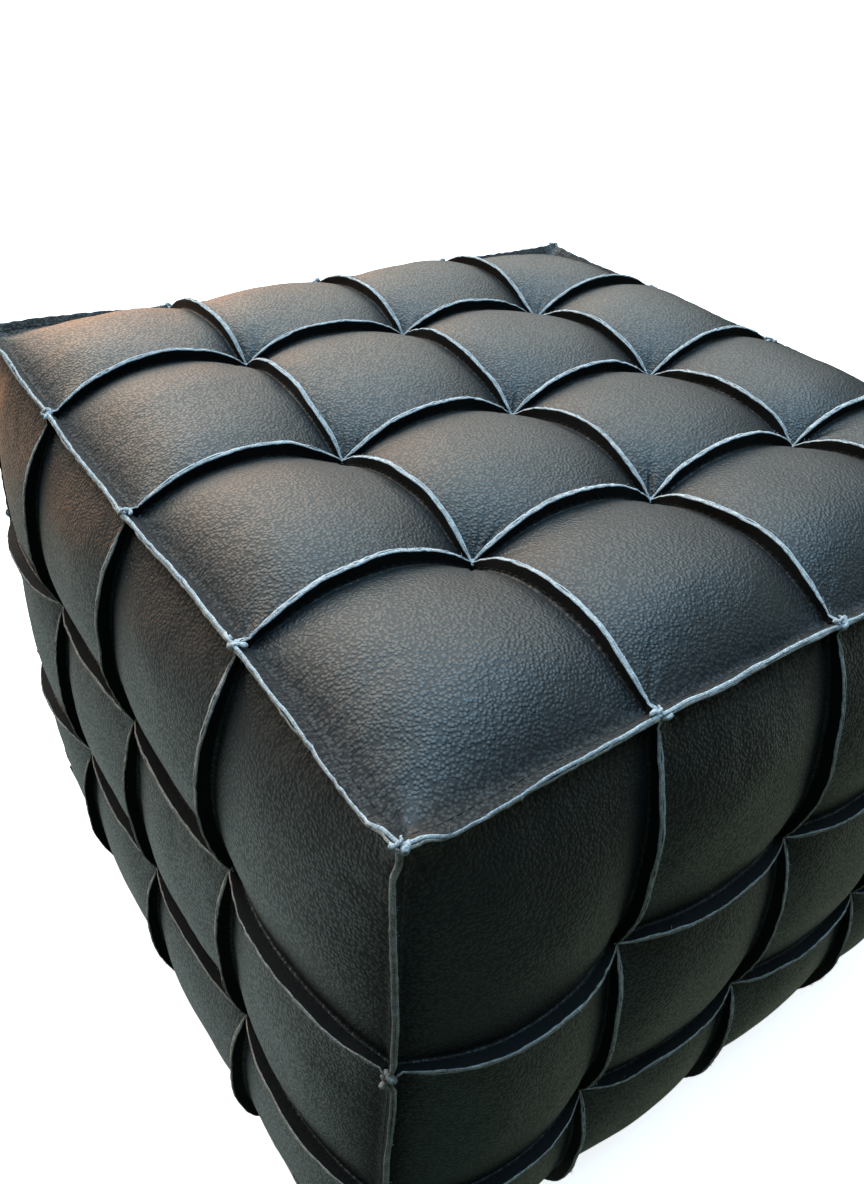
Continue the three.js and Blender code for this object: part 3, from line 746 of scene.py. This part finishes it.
# The side faces' raw edge is a darker, warmer copy of the top's: painted shade.
SIDE_EDGE_PAINTED_SHADE = raw_edge_material("side_leather_edge_painted_shade", (0.30, 0.275, 0.25), (0.62, 0.58, 0.54))
THREAD = fibrous_material("black_thread", (0.02, 0.02, 0.022), (0.004, 0.004, 0.004), 3000.0, 0.0001, 0.7)
WADDING = fibrous_material("wadding", (0.82, 0.80, 0.75), (0.60, 0.58, 0.53), 420.0, 0.0012)
FOAM = fibrous_material("open_cell_foam", (0.80, 0.70, 0.42), (0.52, 0.43, 0.22), 900.0, 0.0005)
TWINE = fibrous_material("tufting_twine", (0.62, 0.56, 0.44), (0.33, 0.28, 0.20), 1700.0, 0.0003)
TAPE = woven_material("zip_tape", (0.030, 0.030, 0.032), (0.006, 0.006, 0.006), 0.0007)
NYLON = fibrous_material("nylon_coil", (0.022, 0.022, 0.024), (0.012, 0.012, 0.012), 600.0, 0.0001, 0.38)
ZINC = metal_material()


# ---------------------------------------------------------------- leather squares

GATHER_PITCH = 2.6               # distance between the small creases across a seam
GATHER_LENGTH = 16


def mark_seams(mesh, face, i, j):
    """Gives a square's mesh its coordinates along and across its seams, and how tightly each is drawn."""
    across, up = face.squares
    tall = square_height(face)
    line = grid_line()
    a, b = (grid.ravel() for grid in np.meshgrid(line, line))
    steps = border(GRID)
    rings = len(BEND) + len(PROFILE)
    a = np.concatenate([a, np.tile(line[steps[:, 0]], rings), a])
    b = np.concatenate([b, np.tile(line[steps[:, 1]], rings), b])
    x, y = a * PITCH, b * tall
    sides = [(x, y, i == 0), (PITCH - x, y, i == across - 1),
             (y, x, j == 0 and face.is_top), (tall - y, x, j == up - 1)]
    drawn = np.zeros_like(x)
    along = np.zeros((len(x), 3))
    nearest = np.full_like(x, np.inf)
    ranked = np.sort(np.stack([near for near, beside, outer in sides]), axis=0)
    apart = 0.12 + 0.88 * smooth(ranked[1] - ranked[0], 0, 9)
    for number, (near, beside, outer) in enumerate(sides):
        tight = (0.9 if outer else 0.4) * np.exp(-near / (9 if outer else 6)) * apart
        closer = near < nearest
        nearest = np.where(closer, near, nearest)
        drawn = np.where(closer, tight, drawn)
        own_place = 7.3 * number + 31.7 * i + 57.1 * j + 11.9 * FACES.index(face)
        place = np.stack([beside / GATHER_PITCH, near / GATHER_LENGTH, np.full_like(x, own_place)], -1)
        along = np.where(closer[:, None], place, along)
    mesh.attributes.new("along_seam", "FLOAT_VECTOR", "POINT").data.foreach_set("vector", along.ravel())
    mesh.attributes.new("drawn_in", "FLOAT", "POINT").data.foreach_set("value", drawn)


SKIN_SLOT, EDGE_SLOT, SEAM_PAINTED_SHADE_SLOT = range(3)


def material_slots(face, i, j):
    """Which material slot each face of a square's mesh has."""
    faces, grid_faces, ring_of = TOPOLOGY
    steps = border(GRID)
    last = COLUMNS - 1
    kind = [SKIN_SLOT] * grid_faces
    for number, k in enumerate(ring_of):
        p, q = steps[number % len(steps)]
        open_side = face.is_top and (i == 0 and p == 0 or i == last and p == GRID
                                     or j == 0 and q == 0 or j == last and q == GRID)
        # Allowance faces past the bend get the darker leather, which is painted shade.
        in_painted_shade = k >= len(BEND) and not (open_side and k < len(BEND) + 3)
        kind.append(EDGE_SLOT if k in RAW_RINGS else SEAM_PAINTED_SHADE_SLOT if in_painted_shade else SKIN_SLOT)
    return kind + [SKIN_SLOT] * (len(faces) - len(kind))


def leather_square(face, i, j):
    place = f"{j + 1}_{i + 1}" if face.is_top else f"{i + 1}_{j + 1}"
    piece = new_mesh(f"{face.name}_square_{place}", square_points(face, i, j), TOPOLOGY[0],
                     material_slots(face, i, j), (LEATHER_SKIN, edge_material(face), SEAM_PAINTED_SHADE_LEATHER))
    mark_seams(piece.data, face, i, j)
    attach(piece, "cover")
    return piece


def leather_squares():
    for face, i, j in squares():
        square = leather_square(face, i, j)
        cad = f"top_panel_{j + 1}_{i + 1}" if face.is_top else f"{face.name}_strip_{i + 1}"
        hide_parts(cad)


# ---------------------------------------------------------------- thin round things: thread, fibres, folds

def tube(path, radii, sides=6):
    """Points and faces of a closed round rod along a path, with a radius at each of its points."""
    path = np.asarray(path, float)
    n = len(path)
    radii = np.broadcast_to(radii, (n,))
    tangents = np.gradient(path, axis=0)
    tangents /= np.linalg.norm(tangents, axis=1, keepdims=True) + 1e-9
    helper = np.array([0.0, 0.0, 1.0]) if abs(tangents[:, 2]).max() < 0.9 else np.array([0.31, 0.95, 0.0])
    first = np.cross(tangents, helper)
    first /= np.linalg.norm(first, axis=1, keepdims=True) + 1e-9
    second = np.cross(tangents, first)
    turn = np.arange(sides) * 2 * math.pi / sides
    around = first[:, None] * np.cos(turn)[None, :, None] + second[:, None] * np.sin(turn)[None, :, None]
    points = (path[:, None] + around * radii[:, None, None]).reshape(-1, 3)
    points = np.concatenate([points, path[:1] - tangents[:1] * radii[0] * 0.6,
                             path[-1:] + tangents[-1:] * radii[-1] * 0.6])
    faces = []
    for k in range(n - 1):
        for s in range(sides):
            t = (s + 1) % sides
            faces.append((k * sides + s, k * sides + t, (k + 1) * sides + t, (k + 1) * sides + s))
    for s in range(sides):
        t = (s + 1) % sides
        faces.append((n * sides, t, s))
        faces.append((n * sides + 1, (n - 1) * sides + s, (n - 1) * sides + t))
    return points, faces


def merged(name, shapes, material, body="cover"):
    """One piece from many small closed shapes."""
    points, faces, start = [], [], 0
    for shape_points, shape_faces in shapes:
        points.append(shape_points)
        faces += [tuple(v + start for v in f) for f in shape_faces]
        start += len(shape_points)
    piece = new_mesh(name, np.concatenate(points), faces, None, (material,))
    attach(piece, body)
    return piece


def seam_side(face, i, j, side, height, away, steps=60):
    """A line along one side of a square, at a height up its allowance."""
    t = np.linspace(0, 1, steps + 1)
    zero, one = np.zeros_like(t), np.ones_like(t)
    a, b = {"low": (t, zero), "high": (t, one), "left": (zero, t), "right": (one, t)}[side]
    return settled(ring(face, i, j, a, b, height, away))


def along_line(line, distance):
    """The place at a distance, or at several, along a line of points."""
    lengths = np.concatenate([[0], np.cumsum(np.linalg.norm(np.diff(line, axis=0), axis=1))])
    distance = np.clip(distance, 0, lengths[-1])
    return np.stack([np.interp(distance, lengths, line[:, k]) for k in range(3)], axis=-1)


def line_length(line):
    return float(np.linalg.norm(np.diff(line, axis=0), axis=1).sum())


STITCH = 3.4                     # length of a stitch that shows
STITCH_PITCH = 4.8
STITCH_MARGIN = 3.0              # from a crossing to the nearest stitch
THREAD_RADIUS = 0.28
THREAD_END_RADIUS = 0.2


def stitches(line):
    """Short rounded stitches along a line."""
    shapes = []
    for start in np.arange(STITCH_MARGIN, line_length(line) - STITCH_MARGIN - STITCH, STITCH_PITCH):
        path = along_line(line, start + STITCH * np.linspace(0, 1, 4))
        shapes.append(tube(path, np.array([0.55, 1.0, 1.0, 0.55]) * THREAD_RADIUS, 5))
    return shapes


def stitching():
    """The thread along the foot of every allowance."""
    for face in FACES:
        shapes = []
        for i, j in face_squares(face):
            for side in ("low", "high", "left", "right"):
                shapes += stitches(seam_side(face, i, j, side, FOOT + 0.5, RAW + 0.08))
        merged(f"seam_stitching_{face.name}", shapes, THREAD)


def crossing_nodes(face):
    """Where seams cross on a face and its own folds show there: the crossing's column and row, whether
    it is on the face's edge, and whether it is a corner. The crossings round the top, and those of an
    upright edge on its right, belong to the next face."""
    across, up = face.squares
    for i in range(across + 1):
        for j in range(up + 1):
            on_side, on_end = i in (0, across), j in (0, up)
            if face.is_top or not (on_end or i == across):
                yield i, j, on_side or on_end, on_side and on_end


def node_point(face, i, j, height):
    across, up = face.squares
    cell_i, cell_j = min(i, across - 1), min(j, up - 1)
    a, b = np.array([float(i - cell_i)]), np.array([float(j - cell_j)])
    return settled(ring(face, cell_i, cell_j, a, b, height, GAP))[0]


SQUIGGLE_POINTS = 15


def squiggle(centre, along, across, up, rng, length, sway, lift):
    """A short crumpled path through centre."""
    t = np.linspace(-1, 1, SQUIGGLE_POINTS)
    phase = rng.uniform(0, 6.28)
    turns = rng.uniform(2.2, 3.4)
    path = centre + along * (t * length)[:, None] + across * (sway * np.sin(turns * t + phase))[:, None]
    return path + up * (lift * np.cos(1.7 * turns * t + phase))[:, None]


def edge_folds(tip, along, across, up, corner, rng):
    """Two crumpled lengths of raw edge where a seam runs into the pouf's edge."""
    size = 0.7 if corner else 1.0
    path = squiggle(tip, along, across, up, rng, 5.2 * size, 2.3 * size, 0.8)
    thick = 1.45 + 0.35 * np.sin(np.linspace(0, 9, SQUIGGLE_POINTS) + rng.uniform(0, 6))
    thick[[0, -1]] = 0.6
    crossways = squiggle(tip + across * 1.6, (along + 0.8 * across) / 1.28, up, -along, rng, 2.8, 0.9, 0.6)
    return [tube(path, thick, 8), tube(crossways, np.linspace(1.15, 0.5, SQUIGGLE_POINTS), 8)]


def thread_ends(tip, along, across, up, rng):
    """Three loose ends of thread."""
    ends = []
    for _ in range(3):
        way = along * rng.uniform(-1, 1) + across * rng.uniform(-1, 1) - up * rng.uniform(-0.2, 0.8)
        path = squiggle(tip - up * 1.5, way / np.linalg.norm(way), up, across, rng,
                        rng.uniform(2.5, 4.5), 0.8, 0.8)
        ends.append(tube(path, THREAD_END_RADIUS, 5))
    return ends


def inner_folds(tip, along, across, up, rng):
    """Three small pointed folds where four squares meet."""
    shapes = []
    for heading in (along, across, -along * 0.8 + across * 0.5):
        heading = heading / np.linalg.norm(heading)
        path = squiggle(tip - up * 0.4, heading, np.cross(up, heading), up, rng, 2.2, 0.5, 0.5)
        shapes.append(tube(path, np.linspace(0.9, 0.35, SQUIGGLE_POINTS), 7))
    return shapes


def crossing_folds():
    """The crumpled raw ends where seams cross, and the loose ends of thread there."""
    for face in FACES:
        rng = np.random.default_rng(300 + FACES.index(face))
        folds, ends = [], []
        for i, j, on_edge, corner in crossing_nodes(face):
            tip = node_point(face, i, j, (FLANGE_MID if on_edge else FLANGE_NODE) - 0.6)
            foot = node_point(face, i, j, 0.5)
            up = (tip - foot) / np.linalg.norm(tip - foot)
            along = face.u if j in (0, face.squares[1]) and face.is_top else face.v
            along = along - up * (along @ up)
            along /= np.linalg.norm(along)
            across = np.cross(up, along)
            if on_edge:
                folds += edge_folds(tip, along, across, up, corner, rng)
                ends += thread_ends(tip, along, across, up, rng)
            else:
                folds += inner_folds(tip, along, across, up, rng)
        merged(f"crossing_folds_{face.name}", folds, edge_material(face))
        merged(f"thread_ends_{face.name}", ends, THREAD)


FIBRES = 40                      # loose fibres along one side of a square
TUFT_FIBRES = 14
TUFT_CHANCE = 0.35


def fibre(place, out, rng):
    """One bent fibre that starts at a place."""
    way = rng.normal(0, 1, 3) + out * 0.6
    way /= np.linalg.norm(way)
    bend = rng.normal(0, 1, 3)
    reach = rng.uniform(0.6, 2.0)
    s = np.linspace(0, 1, 6)
    path = place + way * (s * reach)[:, None] + bend * (s ** 2 * reach * 0.3)[:, None]
    return tube(path, np.linspace(0.14, 0.06, 6), 4)


def side_fibres(face, i, j, side, rng):
    """The fibres along the raw edge on one side of a square."""
    line = seam_side(face, i, j, side, FLANGE_MID - 0.4, GAP + 0.5)
    total = line_length(line)
    spots = list(rng.uniform(6, total - 6, FIBRES))
    if rng.uniform() < TUFT_CHANCE:
        spots += list(rng.uniform(10, total - 10) + rng.uniform(-1.2, 1.2, TUFT_FIBRES))
    on_edge = i == 0 if side == "left" else j == 0
    shapes = []
    for spot in spots:
        top = FLANGE_NODE + (FLANGE_MID - FLANGE_NODE) * belly(np.clip(spot / total, 0, 1))
        place = along_line(line, np.array([spot]))[0] - face.out * (0 if on_edge else FLANGE_MID - top)
        shapes.append(fibre(place, face.out, rng))
    return shapes


def frayed_fibres():
    """Loose fibres and a few tufts standing out of the raw edges."""
    for face in FACES:
        rng = np.random.default_rng(500 + FACES.index(face))
        shapes = []
        for i, j in face_squares(face):
            for side in ("low", "left"):
                if side == "left" or j > 0 or face.is_top:
                    shapes += side_fibres(face, i, j, side, rng)
        merged(f"frayed_fibres_{face.name}", shapes, edge_material(face))


# ---------------------------------------------------------------- filling

PAD = 22                         # thickness of the wadding at the seams
PAD_CLEARANCE = 1.0
TWINE_ROOM = 3.2                 # between the wadding and the foam
SQUEEZE = 1.0
FILLING_DEPTH = LEATHER + PAD_CLEARANCE + PAD + TWINE_ROOM - SQUEEZE
FOAM_HALF = HALF - FILLING_DEPTH
FOAM_TOP = TOP_SEAM - FILLING_DEPTH
PAD_CELLS = 12                   # cells of a wadding pad under each leather square


def closed_sheet(front, back):
    """Points and faces of a closed body between two grids of points of one size."""
    rows, columns = front.shape[:2]
    half = rows * columns

    def vert(r, c):
        return r * columns + c

    faces = []
    for r in range(rows - 1):
        for c in range(columns - 1):
            faces.append((vert(r, c), vert(r, c + 1), vert(r + 1, c + 1), vert(r + 1, c)))
            faces.append(tuple(half + v for v in
                               (vert(r, c), vert(r + 1, c), vert(r + 1, c + 1), vert(r, c + 1))))
    loop = [(0, c) for c in range(columns - 1)] + [(r, columns - 1) for r in range(rows - 1)]
    loop += [(rows - 1, c) for c in range(columns - 1, 0, -1)] + [(r, 0) for r in range(rows - 1, 0, -1)]
    for k, (r, c) in enumerate(loop):
        nr, nc = loop[(k + 1) % len(loop)]
        faces.append((half + vert(r, c), half + vert(nr, nc), vert(nr, nc), vert(r, c)))
    return np.concatenate([front.reshape(-1, 3), back.reshape(-1, 3)]), faces


def pad_edge(face, i, j, a, b, at_side, at_end):
    """The edge of a wadding pad: a point inside the seam, and the way that its mitred side slopes."""
    sides = []
    if at_side:
        sides.append("left" if a == 0 else "right")
    if at_end:
        sides.append("low" if b == 0 else "high")
    leans = [lean(face, i, j, side) for side in sides]
    slope = face.out + sum(tilt for tilt, own in leans)
    point = surface(face, i, j, np.array([a]), np.array([b]))[0]
    point = point - slope * (LEATHER + PAD_CLEARANCE) * 1.3 / math.sqrt(2)
    owns = [own for tilt, own in leans]
    inwards = (owns[0] + owns[1]) / (1 + owns[0] @ owns[1]) if len(owns) == 2 else owns[0]
    return point + inwards * PAD_CLEARANCE, slope


def wadding_pad(face):
    """A pad that follows the leather from inside, flat behind, mitred against its neighbours."""
    across, up = face.squares
    level = (FOAM_TOP if face.is_top else FOAM_HALF) + TWINE_ROOM
    front = np.zeros((up * PAD_CELLS + 1, across * PAD_CELLS + 1, 3))
    back = np.zeros_like(front)
    for q in range(len(front)):
        j = min(q // PAD_CELLS, up - 1)
        for p in range(len(front[0])):
            i = min(p // PAD_CELLS, across - 1)
            a, b = p / PAD_CELLS - i, q / PAD_CELLS - j
            at_side, at_end = p in (0, across * PAD_CELLS), q in (0, up * PAD_CELLS)
            if at_side or at_end:
                point, slope = pad_edge(face, i, j, a, b, at_side, at_end)
            else:
                point = surface(face, i, j, np.array([a]), np.array([b]))[0]
                point = point - face.out * (LEATHER + PAD_CLEARANCE + 0.5)
                slope = face.out
            front[q, p] = point
            back[q, p] = point + slope * (level - point @ face.out)
    inside = np.zeros(front.shape[:2])
    inside[1:-1, 1:-1] = 1
    fluff = 0.5 * noise(front, 14, 80) - 0.5
    front = front + (fluff * inside)[..., None] * face.out
    points, faces = closed_sheet(settled(front), settled(back))
    piece = new_mesh(f"wadding_pad_{face.name}", points, faces, None, (WADDING,))
    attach(piece, "cover")
    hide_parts(f"wadding_{face.name}")


def finer(source, name, cell, bevel, material, wobble, extra=()):
    """A detailed copy of a CAD node: rounded edges, cut into cells, with a slightly uneven surface."""
    mesh = bpy.data.objects[source].data.copy()
    mesh.name = name
    bm = bmesh.new()
    bm.from_mesh(mesh)
    bmesh.ops.remove_doubles(bm, verts=bm.verts, dist=1e-5)
    bmesh.ops.dissolve_limit(bm, angle_limit=math.radians(1), verts=bm.verts, edges=bm.edges)
    sharp = [e for e in bm.edges if len(e.link_faces) == 2 and e.calc_face_angle(0) > math.radians(30)]
    bmesh.ops.bevel(bm, geom=sharp, offset=bevel * MM, segments=3, affect="EDGES", clamp_overlap=True)
    low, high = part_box(source)
    for axis in range(3):
        normal = Vector([float(k == axis) for k in range(3)])
        for place in np.arange(low[axis] + cell * MM / 2, high[axis], cell * MM):
            every = bm.verts[:] + bm.edges[:] + bm.faces[:]
            bmesh.ops.bisect_plane(bm, geom=every, plane_co=normal * place, plane_no=normal)
    bmesh.ops.triangulate(bm, faces=[f for f in bm.faces if len(f.verts) > 4])
    bm.to_mesh(mesh)
    bm.free()
    mesh.materials.clear()
    for one in (material, *extra):
        mesh.materials.append(one)
    count = len(mesh.vertices)
    places = np.zeros(count * 3)
    mesh.vertices.foreach_get("co", places)
    normals = np.array([v.normal[:] for v in mesh.vertices])
    places = places.reshape(-1, 3)
    places = places - normals * (wobble * MM * (0.5 + 0.5 * noise(places / MM, 9, 90)))[:, None]
    mesh.vertices.foreach_set("co", places.ravel())
    mesh.polygons.foreach_set("use_smooth", np.ones(len(mesh.polygons), bool))
    mesh.polygons.foreach_set("material_index", np.zeros(len(mesh.polygons), np.int32))
    mesh.update()
    piece = bpy.data.objects.new(name, mesh)
    bpy.context.scene.collection.objects.link(piece)
    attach(piece, "cover")
    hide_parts(source)
    return piece


def finish_cad(name, material):
    """Gives a CAD node that still shows its own material."""
    slots = bpy.data.objects[name].data.materials
    slots.clear()
    slots.append(material)


def filling():
    for face in FACES:
        wadding_pad(face)
        finish_cad(f"tufting_twine_{face.name}", TWINE)
    core = finer("foam_core", "foam_block", 24, 4, FOAM, 0.5)


# ---------------------------------------------------------------- base and zip

def base_panels():
    for name in ("front", "back"):
        panel = finer(f"base_panel_{name}", f"base_leather_{name}", 10, 0.3, LEATHER_SKIN, 0.25, (SIDE_EDGE_PAINTED_SHADE,))
        for polygon in panel.data.polygons:
            reach = max(abs(polygon.center.x), abs(polygon.center.y))
            if abs(polygon.normal.z) < 0.5 and reach > (HALF + 7) * MM:
                polygon.material_index = EDGE_SLOT


def zip_teeth(name, side):
    """A row of small moulded loops, meshing with those of the other side."""
    low, high = box_mm(f"zip_coil_{name}")
    pitch = 1.5
    shapes = []
    z = (low[2] + high[2]) / 2
    reach = abs(high[1] if side > 0 else low[1])
    start = low[0] + 1 + (pitch / 2 if side > 0 else 0)
    t = np.linspace(-0.5 * math.pi, 0.5 * math.pi, 7)
    for x in np.arange(start, high[0] - 0.6, pitch):
        inner = 0.45
        y = reach - 0.35 - (reach - 0.35 - inner) * np.cos(t)
        loop = np.stack([x + 0.25 * np.sin(t), side * y, z + 0.62 * np.sin(t)], axis=-1)
        shapes.append(tube(loop, 0.32, 6))
    teeth = merged(f"zip_teeth_{name}", shapes, NYLON)
    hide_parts(f"zip_coil_{name}")


def zip_tape(name):
    low, high = box_mm(f"zip_tape_{name}")
    columns, rows = 140, 10
    x = np.linspace(low[0], high[0], columns + 1)[None, :]
    y = np.linspace(low[1], high[1], rows + 1)[:, None]
    x, y = np.broadcast_arrays(x, y)
    middle = (low[2] + high[2]) / 2
    flat = np.stack([x, y, np.full_like(x, middle)], axis=-1)
    wave = 0.07 * noise(flat, 12, 95)
    half = (high[2] - low[2]) / 2 - 0.08
    front = np.stack([x, y, middle + half + wave], axis=-1)
    back = np.stack([x, y, middle - half + wave], axis=-1)
    points, faces = closed_sheet(front, back)
    piece = new_mesh(f"woven_tape_{name}", points, faces, None, (TAPE,))
    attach(piece, "cover")
    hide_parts(f"zip_tape_{name}")


def base():
    base_panels()
    for name, side in (("front", -1), ("back", 1)):
        zip_teeth(name, side)
        zip_tape(name)
    for part in ("zip_top_stop", "zip_bottom_stop", "zip_slider", "zip_pull"):
        finish_cad(part, ZINC)


leather_squares()
stitching()
crossing_folds()
frayed_fibres()
filling()
base()


# ---------------------------------------------------------------- studio

def direction(azimuth, elevation):
    """Azimuth runs from +Y towards +X, in degrees."""
    turn, rise = math.radians(azimuth), math.radians(elevation)
    return (math.sin(turn) * math.cos(rise), math.cos(turn) * math.cos(rise), math.sin(rise))


# The studio's soft lights, all around the pouf: azimuth, elevation, half-width in degrees, colour.
GLOWS = [
    (-15, 38, 40, (3.9, 4.0, 3.6)),
    (30, 38, 42, (2.8, 2.9, 2.7)),
    (60, 78, 38, (2.5, 4.5, 6.2)),
    (0, 3, 36, (3.4, 1.5, 0.6)),
    (-45, -40, 45, (0.70, 0.88, 0.84)),
    (110, 5, 42, (0.50, 0.60, 0.5)),
    (-150, -40, 60, (0.10, 0.18, 0.14)),
    (100, -40, 45, (0.24, 0.30, 0.22)),
]
AMBIENT = (0.018, 0.019, 0.018)


def world():
    made = bpy.data.worlds.new("studio")
    made.use_nodes = True
    tree = made.node_tree
    heading = node(tree, "ShaderNodeTexCoord").outputs["Generated"]
    total = None
    for azimuth, elevation, wide, colour in GLOWS:
        facing = node(tree, "ShaderNodeVectorMath", {0: heading, 1: direction(azimuth, elevation)},
                      operation="DOT_PRODUCT")
        soft = node(tree, "ShaderNodeMapRange", {"Value": facing.outputs["Value"],
                                                 "From Min": math.cos(math.radians(wide)), "From Max": 1.0},
                    interpolation_type="SMOOTHSTEP")
        glow = node(tree, "ShaderNodeVectorMath", {0: soft.outputs["Result"], 1: colour},
                    operation="MULTIPLY")
        start = total.outputs[0] if total else AMBIENT
        total = node(tree, "ShaderNodeVectorMath", {0: start, 1: glow.outputs[0]}, operation="ADD")
    tree.links.new(total.outputs[0], tree.nodes["Background"].inputs["Color"])
    made.cycles.sampling_method = "MANUAL"
    made.cycles.sample_map_resolution = 256
    bpy.context.scene.world = made


def studio():
    bpy.ops.mesh.primitive_plane_add(size=16, location=(0, 0, 0))
    floor = bpy.context.object
    floor.name = "floor"
    material, _, shader, _ = new_material("pale_floor")
    shader.inputs["Base Color"].default_value = (0.86, 0.86, 0.86, 1)
    shader.inputs["Roughness"].default_value = 0.9
    shader.inputs["Emission Color"].default_value = (1, 1, 1, 1)
    shader.inputs["Emission Strength"].default_value = 0.8
    floor.data.materials.append(material)
    floor.visible_glossy = False
    floor.visible_diffuse = False
    world()


def camera():
    data = bpy.data.cameras.new("camera")
    data.lens = 30.6
    eye = bpy.data.objects.new("camera", data)
    place = Vector((-0.3794, -0.4261, 0.6756))
    azimuth, dip, roll = math.radians(37.7), math.radians(36.31), math.radians(4.66)
    forward = Vector((math.sin(azimuth) * math.cos(dip), math.cos(azimuth) * math.cos(dip), -math.sin(dip)))
    turn = forward.to_track_quat("-Z", "Y").to_matrix().to_4x4()
    eye.matrix_world = Matrix.Translation(place) @ turn @ Matrix.Rotation(roll, 4, "Z")
    bpy.context.scene.collection.objects.link(eye)
    bpy.context.scene.camera = eye


studio()
camera()
bpy.context.scene.view_settings.view_transform = "Standard"
